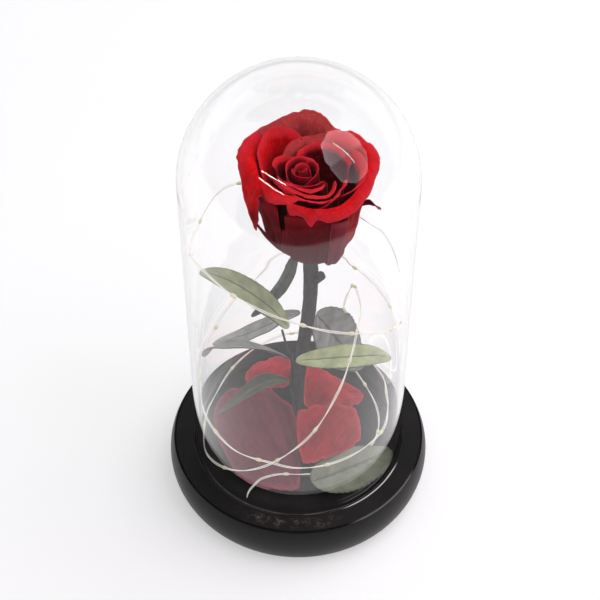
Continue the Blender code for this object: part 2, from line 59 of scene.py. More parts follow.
# Case
BASE_RADIUS = 60.0
BASE_HEIGHT = 20.5
EDGE_BULGE = 21.0          # radius of the rounded side
EDGE_MIDDLE = 11.0         # height where the side is widest
EDGE_DROP = 0.3            # the rounded side starts this far below the flat top
EDGE_STEPS = 24
GROOVE_RADIUS = 57.3       # fine groove between the flat top and the rounded side
GROOVE_WIDTH = 0.5
GROOVE_DEPTH = 0.8
RECESS_RADIUS = 48.5
RECESS_CHAMFER = 0.5
FLOOR = 18.3
LEDGE_RADIUS = 52.0        # dust lies along this circle of the flat top,
DUSTY_ARC = (-124.0, -66.0)
DUSTY_FADE = 12.0          # and thins out over these degrees
HIGHLIGHT_ARC = (-68.0, -22.0)  # where a painted highlight lies along the edges, as angles round the base
HIGHLIGHT_FADE = 8.0
HIGHLIGHT_RINGS = ((RECESS_RADIUS + RECESS_CHAMFER, 1.0), (GROOVE_RADIUS, 0.25))
RING_SLACK = 0.05          # a point this near to a ring lies on it
GLASS_RADIUS = 47.5
GLASS_WALL = 2.0
GLASS_STRAIGHT = 174.6     # height where the wall turns into the half sphere
GLASS_TURN = 1.5           # length over which the wall's shading turns into the rounded parts
DOME_STEPS = 36
LIP_STEPS = 8
TOUCH = 0.3                # gap left between pieces that touch
ROUND_STEPS = 144

# Rose head
AXIS_FOOT = 4.6            # x of the head's axis at the hip
AXIS_BUD = 1.1             # x of the axis at the top, for the middle of the bud
AXIS_CUP = 3.6             # x of the axis at the top, for the outer petals
HIP_HEIGHT = 142.5
HEAD_HEIGHT = 38.0         # from the hip to the rim
CORE_TOP = 164.0
BUD_TOP = 179.5
BUD_LAYER = 8.0            # layers inside this one sprout from the top of the core
CUP_LAYER = 18.0           # layers outside this one follow the cup's own axis
LAST_LAYER = 28.0
FALL_PER_LAYER = 0.20      # how much lower each outer layer stands
TILT_PER_LAYER = 0.14      # how much the rim rises towards the back
PETAL_THICKNESS = 0.34
SEPAL_THICKNESS = 0.4
FOOT_RADIUS = 0.6          # the innermost layer's foot on the core
FOOT_STEP = 0.66           # growth of the foot per layer inside BUD_LAYER
OUTER_STEP = 0.16          # and outside it

# Wound petals
FULL_WIDTH_AT = 0.6        # part of its height where a petal reaches its full width
FOOT_SLOPE = 0.42          # part of the way out that it makes along its foot
BELLY_AT = 0.45            # part of its height where it stands out furthest,
BELLY_OUT = (1.04, 0.35)   # by this share of its layer and this much more
SIDE_RISE = 0.16           # how much higher its sides start than its middle
WOUND_SHOWN = 2.2          # how far it keeps its bright colour below its edge; further down painted shade darkens it
WOUND_TALL = 20.0          # about how tall it is, for its veins
WOUND_CELLS = (12, 2.5, 40)
EDGE_WAVE = 3.0            # length of the waves in its edge
CREASE_DEPTH = 0.15
CREASE_WAVE = 5.0
CREASE_FROM = 0.35         # part of its height where its creases start

# Open petals
WALL_INSET = 1.5           # how far a petal's wall stands inside its crest,
INSET_OVER = 8.0           # when it leans out at least this far
BELLY_RISE = 0.07          # part of its height where it has its belly
WALL_RISE = 0.62           # and where its wall stands straight
LIP_OUT = 0.8              # how far the middle of its lip swells outwards
LIP_UP = 0.6               # and upwards
CUP_TORN = 0.6             # how deep the edges of the big cup petals are torn,
OPEN_TORN = 0.3            # and the others'
TEARS = ((1.0, 2.6), (0.8, 0.8))
CORNER_CUT = 0.5           # how far its corners are drawn in
SIDE_FROM = 0.8            # the sides of a petal or a leaf start this far from its middle
SIDE_FADE = 0.2
FOLD_WAVE = 2.4
CRUMPLES = ((0.45, 3.4), (0.18, 1.1))
CRUMPLED_AT = 0.6          # part of its height where it is crumpled in full
GUARD_CRUMPLE = 0.5        # the outermost petals are crumpled by this share
OPEN_CELLS = (20, 2.6, 52)
HANG_PAINTED_SHADE = 0.85          # painted shade: how much darker the part of a lip is that hangs down,
HANG_TOP = 172.0           # below this height
HANG_FADE = 12.0

# Sepals
SEPAL_TAPER = 0.7
SEPAL_TIP = 0.94           # part of its length where a sepal narrows to its tip
KNOB_AT = 0.95
KNOB_LENGTH = 0.035
SEPAL_BOW = 0.35
SEPAL_CELLS = (8, 60)
SEPAL_CHART = (0.2, 2.0)

# Leaves
LEAF_THICKNESS = 0.4
LEAF_END = 0.08            # width of a leaf at its ends, as a share of its full width
LEAF_LEAN = 0.85           # below 1 it is widest nearer its stalk
LEAF_FULL = 0.8            # below 1 its outline is rounder
TOOTH_DEPTH = 0.10
QUILT_DEPTH = 0.024        # height of the cushions between its veins, as a share of its half width
VEINS_PER_TOOTH = 0.5
VEIN_SLANT = 1.6
CURL_HEIGHT = 0.8
CURL_WAVES = (1.5, 5.0)
LEAF_CELLS = (32, 128)
LEAF_LONG = 4.0

# Loose petals; their own measures run from -1 to 1
LOOSE_ROUND = 0.38         # how far the corners are rounded off towards a disc
LOOSE_EDGES = ((0.05, 0.4), (0.06, 0.35))
LOOSE_HUMP = (2.0, 0.5)
LOOSE_FOLD = (1.3, 0.16)
LOOSE_SLANT = 0.7          # how far the long folds run askew
LOOSE_MOTTLE = 0.9
LOOSE_CELLS = (64, 64)
LOOSE_CHART = 2.0

CHART_UNIT = 10.0          # length of a sheet that is one unit of its own map
# Each wave drawn on a sheet starts from a number of its own
WOUND_SEED = 7.3
TEAR_SEED = 5.1
FOLD_SEED = 3.7
LEAF_SEED = 9.0

# Stem
STEM_STEPS = 90
STEM_SIDES = 28
STALK_STEPS = 50
STALK_SIDES = 12
SHOOT_SIDES = 20
SHOOT_TAPER = (1.1, 0.2)
KNOT_SWELL = 0.05
KNOT_LENGTH = 4.0
BARK_RELIEF = 0.16
BARK_GRAIN = 1.6
BARK_SEED = 7              # without it, the bark's relief would change from run to run

# Hip and core, under the petals' feet
CORE_LAYERS = (0.0, 2.5, 5.0, BUD_LAYER, 12.0, 16.0, 20.0, 24.0, LAST_LAYER)
BUD_CORE_INSET = (0.7, 0.75)
CORE_INSET = (0.75, 0.4)
CORE_TIP = 0.3
HIP_RINGS = ((6.6, 0.9), (5.6, 2.6))
CORE_SIDES = 32

# Light string: two fine strands side by side
STRAND_RADIUS = 0.2
STRAND_APART = 0.6
STRAND_SIDES = 6
STRAND_TWIST = 9.0         # length over which the strands turn round each other by one radian
STRING_STEPS = 900
DROP_SHAPE = (0.85, 0.85, 1.6, 1.0)
DROP_CELLS = (14, 10)

# Grain sizes that several finishes share, as waves in a metre
CLOUD_GRAIN = 170.0
FINE_GRAIN = 1500.0

# Petal colours: deep down, where painted shade darkens the head's petals, towards the edge, and on the
# edge, with the amount of dust
PETAL_COLOURS = {
    "petal_outside": ((0.030, 0.001, 0.002), (0.20, 0.003, 0.007), (0.36, 0.006, 0.016), 0.0),
    "petal_inside": ((0.09, 0.001, 0.003), (0.97, 0.006, 0.010), (0.86, 0.045, 0.07), 0.0),
    "petal_edge": ((0.40, 0.004, 0.015), (0.66, 0.010, 0.03), (0.72, 0.02, 0.06), 0.0),
    "petal_vivid": ((0.08, 0.001, 0.002), (0.42, 0.004, 0.010), (0.50, 0.006, 0.016), 0.0),
    "petal_dusty": ((0.16, 0.006, 0.010), (0.66, 0.075, 0.075), (0.60, 0.05, 0.06), 0.25),
    "petal_rosy": ((0.05, 0.003, 0.008), (0.28, 0.020, 0.040), (0.50, 0.05, 0.09), 0.10),
    "petal_mauve": ((0.09, 0.012, 0.025), (0.30, 0.055, 0.09), (0.42, 0.07, 0.12), 0.05),
    "petal_loose": ((0.15, 0.006, 0.012), (0.56, 0.022, 0.034), (0.66, 0.07, 0.09), 0.12),
    "sepal_face": ((0.07, 0.004, 0.008), (0.24, 0.012, 0.024), (0.30, 0.02, 0.04), 0.0),
}
# What a petal has on its outer face, its inner face and its cut edge
PETAL_LOOKS = {
    "red": ("petal_outside", "petal_inside", "petal_edge"),
    "bright": ("petal_vivid", "petal_inside", "petal_edge"),
    "dusty": ("petal_outside", "petal_dusty", "petal_edge"),
    "rosy_back": ("petal_rosy", "petal_dusty", "petal_edge"),
    "mauve_face": ("petal_mauve", "petal_inside", "petal_edge"),
    "loose_face": ("petal_outside", "petal_loose", "petal_edge"),
    "sepal": ("sepal_face", "sepal_face", "sepal_face"),
}
# Leaf colours: the light and the dark of its mottling, and the midrib
LEAF_COLOURS = {
    # partly painted light: this olive is paler than the leaf's own green, standing for the light on the
    # upper faces of leaf_lit and leaf_right
    "leaf_olive": ((0.58, 0.63, 0.36), (0.40, 0.45, 0.24), (0.13, 0.15, 0.08)),
    "leaf_grey": ((0.13, 0.14, 0.12), (0.09, 0.10, 0.085), (0.05, 0.055, 0.045)),
    "leaf_pale": ((0.27, 0.29, 0.22), (0.20, 0.22, 0.16), (0.12, 0.13, 0.09)),
    "leaf_light_grey": ((0.52, 0.52, 0.49), (0.34, 0.35, 0.32), (0.12, 0.13, 0.11)),
    "leaf_dark": ((0.07, 0.085, 0.05), (0.05, 0.06, 0.035), (0.16, 0.17, 0.12)),
    "leaf_middle_grey": ((0.34, 0.34, 0.33), (0.22, 0.225, 0.21), (0.09, 0.095, 0.085)),
}
# What each leaf has on its upper face, its lower face and its cut edge
LEAF_LOOKS = {
    "leaf_lit": ("leaf_olive", "leaf_grey", "leaf_grey"),
    "leaf_serrated": ("leaf_light_grey", "leaf_light_grey", "leaf_grey"),
    "leaf_arching": ("leaf_middle_grey", "leaf_middle_grey", "leaf_grey"),
    "leaf_right": ("leaf_olive", "leaf_grey", "leaf_grey"),
    "leaf_hanging": ("leaf_middle_grey", "leaf_middle_grey", "leaf_grey"),
    "leaf_small": ("leaf_dark", "leaf_grey", "leaf_dark"),
    "leaf_narrow": ("leaf_grey", "leaf_grey", "leaf_grey"),
    "leaf_fallen": ("leaf_pale", "leaf_grey", "leaf_pale"),
}

# Table and lamps. The softboxes and strips are placed by what they mirror in the top of the glass.
TABLE_HALF = 3000.0
TABLE_FRONT = -525.0       # the white table ends here, towards the viewer; beyond it painted shade stands for the dark room that the glass mirrors
TABLE_GLOW = 0.46          # how much the table shines through by itself, which softens its shadows
GLASS_TOP = Vector((10.0, -28.0, 209.0))
SOFTBOXES = (((-18.5, 48.7), 6.4), ((-21.9, 40.0), 3.4))
SOFTBOX_AWAY = 800.0
SOFTBOX_RADIUS = 300.0
SOFTBOX_SIDES = 8
SOFTBOX_TURN = math.radians(22.5)
STRIPS = (
    (Vector((-447.0, -440.0, 720.0)), Vector((-165.0, -651.0, 679.0)), 10.0, 0.45),
    (Vector((-480.0, -484.0, 647.0)), Vector((-189.0, -714.0, 570.0)), 10.0, 0.45),
    (Vector((390.0, -150.0, 899.0)), Vector((552.0, -196.0, 770.0)), 14.0, 0.14),
    (Vector((552.0, -196.0, 770.0)), Vector((625.0, -244.0, 665.0)), 14.0, 0.09),
)
# Round lamps: name, angle round the dome and above the table, distance, size and power
ROUND_LAMPS = (
    ("main", 24.0, 54.0, 1100.0, 1200.0, 10.4),
    ("ceiling", 0.0, 90.0, 1400.0, 3000.0, 24.0),
)
LAMP_AIM = Vector((0.0, 0.0, 120.0))
SKY_AXIS = (0.0, 1.0, -0.8)
SKY_FADE = (0.12, 0.40)    # where along that axis the sky's light rises
SKY_BACK = 1.0             # the sky's light low behind the dome,
SKY_FRONT = 0.03           # and its light elsewhere


class Wire:
    """An output socket; a sum written on it adds its Math node to the finish."""

    def __init__(self, finish, socket):
        self.finish = finish
        self.socket = socket

    def sum(self, operation, first, second):
        return self.finish.node("ShaderNodeMath", {"operation": operation}, {0: first, 1: second})

    def __add__(self, other):
        return self.sum("ADD", self, other)

    def __radd__(self, other):
        return self.sum("ADD", other, self)

    def __sub__(self, other):
        return self.sum("SUBTRACT", self, other)

    def __rsub__(self, other):
        return self.sum("SUBTRACT", other, self)

    def __mul__(self, other):
        return self.sum("MULTIPLY", self, other)

    def __rmul__(self, other):
        return self.sum("MULTIPLY", other, self)


class Finish:
    """A material on a Principled shader, with its nodes added by one method."""

    def __init__(self, name, constants):
        self.material = bpy.data.materials.new(name)
        self.material.use_nodes = True
        self.tree = self.material.node_tree
        self.shader = self.tree.nodes["Principled BSDF"]
        for label, value in constants.items():
            self.feed(self.shader.inputs[label], value)

    def feed(self, socket, value):
        if isinstance(value, Wire):
            self.tree.links.new(value.socket, socket)
        else:
            socket.default_value = value

    def node(self, kind, settings=None, sockets=None, output=0):
        made = self.tree.nodes.new(kind)
        for label, value in (settings or {}).items():
            if label == "stops":
                self.set_stops(made.color_ramp, value)
            else:
                setattr(made, label, value)
        for label, value in (sockets or {}).items():
            self.feed(made.inputs[label], value)
        return Wire(self, made.outputs[output])

    @staticmethod
    def set_stops(ramp, stops):
        for place, value in stops[2:]:
            ramp.elements.new(place)
        for element, (place, value) in zip(ramp.elements, stops):
            element.position = place
            element.color = (value, value, value, 1.0)

    def ramp(self, factor, *stops):
        """Grey levels by place along the factor."""
        return self.node("ShaderNodeValToRGB", {"stops": stops}, {"Fac": factor})

    def limit(self, value):
        """The value kept between 0 and 1."""
        settings = {"operation": "ADD", "use_clamp": True}
        return self.node("ShaderNodeMath", settings, {0: value, 1: 0.0})

    def mix(self, factor, first, second):
        """A colour between two colours."""
        settings = {"data_type": "RGBA"}
        return self.node("ShaderNodeMix", settings, {0: factor, 6: first, 7: second}, output=2)

    def grain(self, scale, detail=3.0, roughness=0.5, at=None):
        sockets = {"Scale": scale, "Detail": detail, "Roughness": roughness}
        sockets["Vector"] = at or self.place()
        return self.node("ShaderNodeTexNoise", None, sockets)

    def place(self):
        return self.node("ShaderNodeTexCoord", output="Object")

    def chart(self, stretch=(1.0, 1.0, 1.0)):
        """The piece's own map, stretched."""
        flat = self.node("ShaderNodeUVMap", {"uv_map": "chart"})
        return self.node("ShaderNodeMapping", None, {"Vector": flat, "Scale": stretch})

    def mark(self, name):
        """A value painted on the piece's points."""
        return self.node("ShaderNodeAttribute", {"attribute_name": name}, output="Fac")

    def bump(self, height, strength, distance):
        sockets = {"Height": height, "Strength": strength, "Distance": distance * MM}
        self.feed(self.shader.inputs["Normal"], self.node("ShaderNodeBump", None, sockets))

    def set(self, label, value):
        self.feed(self.shader.inputs[label], value)


def shade(red, green, blue):
    return (red, green, blue, 1.0)


def petal_finish(name, deep, bright, edge_shade, dust):
    """Dry velvety petal: painted shade darkens it towards its foot, veins fan to the edge, specks of dust.
    """
    finish = Finish(name, {"Sheen Weight": 0.10, "Sheen Roughness": 0.4, "Specular IOR Level": 0.05})
    finish.set("Sheen Tint", shade(1.0, 0.14, 0.20))
    veins = finish.grain(9.0, 5.0, 0.7, finish.chart((1.7, 0.24, 1.0)))
    cloud = finish.grain(CLOUD_GRAIN, 5.0, 0.65)
    nap = finish.grain(FINE_GRAIN, 3.0, 0.7)
    # painted shade: the rise mark darkens the head's petals below their edges; on loose petals it is only
    # a random mottle
    rise = finish.ramp(finish.mark("rise"), (0.0, 0.0), (0.85, 1.0))
    tone = rise * 0.78 + cloud * 1.2 + veins * 0.9 + nap * 0.6 - 1.33
    body = finish.mix(finish.limit(tone), shade(*deep), shade(*bright))
    edge = finish.ramp(finish.mark("rim"), (0.86, 0.0), (1.0, 1.0))
    body = finish.mix(edge * 0.7, body, shade(*edge_shade))
    specks = finish.ramp(nap, (0.60, 0.0), (0.70, 1.0))
    finish.set("Base Color", finish.mix(specks * (0.12 + dust), body, shade(0.75, 0.30, 0.30)))
    finish.set("Roughness", 0.50 + cloud * 0.2)
    finish.bump(veins * 0.7 + nap * 0.4, 0.8, 0.4)
    return finish.material


def leaf_finish(name, light, dark, midrib):
    """Preserved leaf: mottled, with a marked midrib, arched side veins and a darker margin."""
    finish = Finish(name, {"Specular IOR Level": 0.35})
    across = finish.mark("across")
    cloud = finish.grain(CLOUD_GRAIN, 4.0)
    body = finish.mix(finish.ramp(cloud, (0.35, 0.0), (0.65, 1.0)), shade(*light), shade(*dark))
    side = finish.ramp(finish.mark("vein"), (0.0, 1.0), (0.16, 0.0))
    body = finish.mix(side * 0.35, body, shade(*midrib))
    rib = finish.ramp(across, (0.03, 1.0), (0.10, 0.0))
    margin = finish.ramp(across, (0.88, 0.0), (0.99, 1.0))
    body = finish.mix(rib * 0.85, body, shade(*midrib))
    finish.set("Base Color", finish.mix(margin * 0.7, body, shade(*midrib)))
    finish.set("Roughness", 0.5 + cloud * 0.25)
    finish.bump(side * 0.6 + finish.grain(900.0, 3.0) * 0.5, 0.5, 0.2)
    return finish.material


def bark_finish():
    """Dark preserved stem: grey with a purple tint, streaked and speckled."""
    finish = Finish("dark_bark", {"Specular IOR Level": 0.3})
    drawn = finish.node(
        "ShaderNodeMapping", None, {"Vector": finish.place(), "Scale": (500.0, 500.0, 90.0)}
    )
    streaks = finish.grain(1.0, 5.0, 0.6, drawn)
    specks = finish.ramp(finish.grain(FINE_GRAIN, 2.0), (0.62, 0.0), (0.70, 1.0))
    body = finish.mix(streaks, shade(0.020, 0.017, 0.021), shade(0.062, 0.054, 0.062))
    finish.set("Base Color", finish.mix(specks * 0.6, body, shade(0.30, 0.29, 0.27)))
    finish.set("Roughness", 0.65 + streaks * 0.2)
    finish.bump(streaks + finish.grain(700.0, 4.0) * 0.6, 0.8, 0.4)
    return finish.material


def lacquer_finish():
    """Black lacquer on turned wood, dulled by dust, with a painted highlight along its edges."""
    finish = Finish("black_lacquer", {"Specular IOR Level": 0.25})
    cloud = finish.grain(60.0, 4.0)
    dust = finish.ramp(finish.grain(1900.0, 2.0), (0.66, 0.0), (0.74, 1.0))
    body = finish.mix(cloud, shade(0.006, 0.006, 0.006), shade(0.012, 0.011, 0.011))
    body = finish.mix(dust * 0.35, body, shade(0.11, 0.10, 0.085))
    smudge = finish.ramp(finish.grain(420.0, 5.0, 0.7), (0.50, 0.0), (0.68, 1.0))
    body = finish.mix(smudge * finish.mark("dusty"), body, shade(0.10, 0.088, 0.07))
    # painted highlight: the marked edges are painted near white, as if they caught the light
    finish.set("Base Color", finish.mix(finish.mark("worn") * 0.9, body, shade(0.85, 0.85, 0.85)))
    finish.set("Roughness", 0.34 + cloud * 0.12 + dust * 0.3)
    finish.bump(finish.grain(1100.0, 3.0), 0.12, 0.15)
    return finish.material


def glass_finish():
    """Clear glass that lamps shine through."""
    finish = Finish("clear_glass", {
        "Base Color": shade(1.0, 1.0, 1.0), "Roughness": 0.0, "IOR": 1.46, "Transmission Weight": 1.0,
    })
    finish.bump(finish.grain(16.0, 1.0), 0.004, 4.0)
    lamp_ray = finish.node("ShaderNodeLightPath", output="Is Shadow Ray")
    clear = finish.node("ShaderNodeBsdfTransparent")
    glass = Wire(finish, finish.shader.outputs["BSDF"])
    both = finish.node("ShaderNodeMixShader", None, {0: lamp_ray, 1: glass, 2: clear})
    finish.feed(finish.tree.nodes["Material Output"].inputs["Surface"], both)
    return finish.material


def wire_finish():
    finish = Finish("copper_wire", {"Metallic": 0.25, "Specular IOR Level": 0.7})
    tone = finish.grain(300.0, 2.0)
    finish.set("Base Color", finish.mix(tone, shade(0.93, 0.89, 0.80), shade(0.98, 0.96, 0.92)))
    finish.set("Roughness", 0.3 + tone * 0.2)
    # painted light: the strands glow a little so that they look as bright as lit white wire
    finish.set("Emission Color", shade(1.0, 0.95, 0.86))
    finish.set("Emission Strength", 0.16)
    return finish.material


def lamp_finish():
    finish = Finish("lamp_drop", {"Specular IOR Level": 0.6})
    tone = finish.grain(400.0, 1.0)
    finish.set("Base Color", finish.mix(tone, shade(0.95, 0.87, 0.56), shade(0.98, 0.95, 0.78)))
    finish.set("Roughness", 0.12 + tone * 0.1)
    return finish.material


def floor_finish():
    finish = Finish("white_table", {"Specular IOR Level": 0.2})
    tone = finish.grain(6.0, 2.0)
    white = finish.mix(tone, shade(0.45, 0.45, 0.455), shade(0.48, 0.48, 0.485))
    across = finish.node("ShaderNodeSeparateXYZ", None, {0: finish.place()}, output=1)
    # painted shade: beyond TABLE_FRONT the table is dark and gives no glow
    near = finish.ramp(across + (0.5 - TABLE_FRONT * MM), (0.49, 0.0), (0.51, 1.0))
    finish.set("Base Color", finish.mix(near, shade(0.12, 0.12, 0.12), white))
    finish.set("Emission Color", finish.mix(near, shade(0.0, 0.0, 0.0), shade(0.99, 0.99, 1.0)))
    finish.set("Emission Strength", TABLE_GLOW)
    finish.set("Roughness", 0.6 + tone * 0.1)
    return finish.material


def finished(name, shape, materials, slot=None, nodes=(), smooth=180.0, turn_out=False):
    """An object from a bmesh in millimetres, riding on the body and standing for its nodes."""
    bmesh.ops.scale(shape, vec=(MM, MM, MM), verts=shape.verts)
    if turn_out:
        bmesh.ops.recalc_face_normals(shape, faces=shape.faces)
    mesh = bpy.data.meshes.new(name)
    shape.to_mesh(mesh)
    shape.free()
    mesh.shade_smooth()
    mesh.set_sharp_from_angle(angle=math.radians(smooth))
    for material in materials:
        mesh.materials.append(material)
    piece = bpy.data.objects.new(name, mesh)
    bpy.context.collection.objects.link(piece)
    if slot:
        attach(piece, BODY)
    if nodes:
        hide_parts(*nodes)
    return piece


def turned(profile, steps=ROUND_STEPS):
    """A bmesh turned round +Z from an outline of (radius, height) points."""
    shape = bmesh.new()
    points = [shape.verts.new((radius, 0.0, height)) for radius, height in profile]
    edges = [shape.edges.new(pair) for pair in zip(points, points[1:])]
    bmesh.ops.spin(
        shape, geom=points + edges, cent=(0, 0, 0), axis=(0, 0, 1), angle=2 * math.pi,
        steps=steps, use_merge=True,
    )
    bmesh.ops.remove_doubles(shape, verts=shape.verts, dist=0.001)
    return shape


def arc(centre, radius, start, end, steps):
    """Points of (radius, height) on an arc; angles from the horizontal."""
    turns = [math.radians(start + (end - start) * step / steps) for step in range(steps + 1)]
    return [
        (centre[0] + radius * math.cos(turn), centre[1] + radius * math.sin(turn)) for turn in turns
    ]


def swept(line, sides, shape=None):
    """A bmesh tube with closed ends through points of (x, y, z, radius)."""
    shape = shape or bmesh.new()
    centres = [Vector(point[:3]) for point in line]
    rings = []
    for index, point in enumerate(line):
        before = centres[max(index - 1, 0)]
        after = centres[min(index + 1, len(line) - 1)]
        turn = (after - before).to_track_quat("Z", "X").to_matrix().to_4x4()
        place = Matrix.Translation(centres[index]) @ turn
        made = bmesh.ops.create_circle(shape, segments=sides, radius=point[3], matrix=place)
        ring = set(made["verts"])
        edges = {edge for vert in ring for edge in vert.link_edges if ring.issuperset(edge.verts)}
        rings.append(list(edges))
    for lower, upper in zip(rings, rings[1:]):
        bmesh.ops.bridge_loops(shape, edges=lower + upper)
    bmesh.ops.holes_fill(shape, edges=rings[0] + rings[-1], sides=0)
    return shape


def smooth_line(points, at):
    """A point on the smooth curve through all the points; at runs from 0 to 1."""
    spans = len(points) - 1
    span = min(int(at * spans), spans - 1)
    t = at * spans - span
    before = Vector(points[max(span - 1, 0)])
    start = Vector(points[span])
    end = Vector(points[span + 1])
    after = Vector(points[min(span + 2, spans)])
    return 0.5 * (
        2 * start + (end - before) * t
        + (2 * before - 5 * start + 4 * end - after) * t * t
        + (3 * start - before - 3 * end + after) * t * t * t
    )


def patch(place, across, along, marks):
    """A fine open sheet; place(u, v) gives its points and marks(u, v) the values painted on them."""
    shape = bmesh.new()
    chart = shape.loops.layers.uv.new("chart")
    bmesh.ops.create_grid(shape, x_segments=across, y_segments=along, size=1.0)
    names = [name for name in marks(0.0, 0.0) if name != "chart"]
    layers = {name: shape.verts.layers.float.new(name) for name in names}
    flat = {vert: (vert.co.x, vert.co.y) for vert in shape.verts}
    spots = {vert: marks(*flat[vert]) for vert in shape.verts}
    for face in shape.faces:
        for loop in face.loops:
            loop[chart].uv = spots[loop.vert]["chart"]
    for vert in shape.verts:
        for name, layer in layers.items():
            vert[layer] = spots[vert][name]
    for vert in shape.verts:
        vert.co = place(*flat[vert])
    return shape


def thicken(piece, thickness):
    """Gives a sheet its thickness, its other face the second material and its edge the third."""
    wall = piece.modifiers.new("thickness", "SOLIDIFY")
    wall.thickness = thickness * MM
    wall.offset = 0.0
    wall.material_offset = 1
    wall.material_offset_rim = 2


Petal = namedtuple("Petal", "name facing half layer twist top sag lip curl shoulder waist")

# The tightly wound petals in the middle.
# facing and half: the middle direction and half the width, in degrees round the head.
# layer and twist: crest radius, and how much further out its left edge lies than its middle.
# top and sag: height over the common rim, and how far the rim falls at the sides.
# lip and curl: length of the edge that bends outwards, and the radius of that bend.
# shoulder: how far the outline falls at the sides. waist: width of the foot.
WOUND_PETALS = (
    Petal("petal_bud_1", -60, 160, 1.75, 0.55, 1.6, 0.0, 0.0, 3.0, 0.10, 1.00),
    Petal("petal_bud_2", 100, 108, 3.15, 0.30, 1.8, 0.6, 0.0, 3.0, 0.12, 0.90),
    Petal("petal_bud_3", -120, 106, 4.40, 0.20, 1.9, 0.6, 0.4, 2.0, 0.12, 0.90),
    Petal("petal_bud_4", 0, 100, 5.60, 0.20, 1.6, 0.8, 0.8, 2.0, 0.14, 0.85),
    Petal("petal_bud_5", 140, 90, 6.85, 0.20, 1.4, 0.8, 1.2, 2.0, 0.16, 0.85),
    Petal("petal_inner_1", -90, 78, 8.10, 0.20, 1.4, 0.8, 1.4, 1.8, 0.16, 0.80),
)

OpenPetal = namedtuple("OpenPetal", "name layer waist belly fold shown look rows")
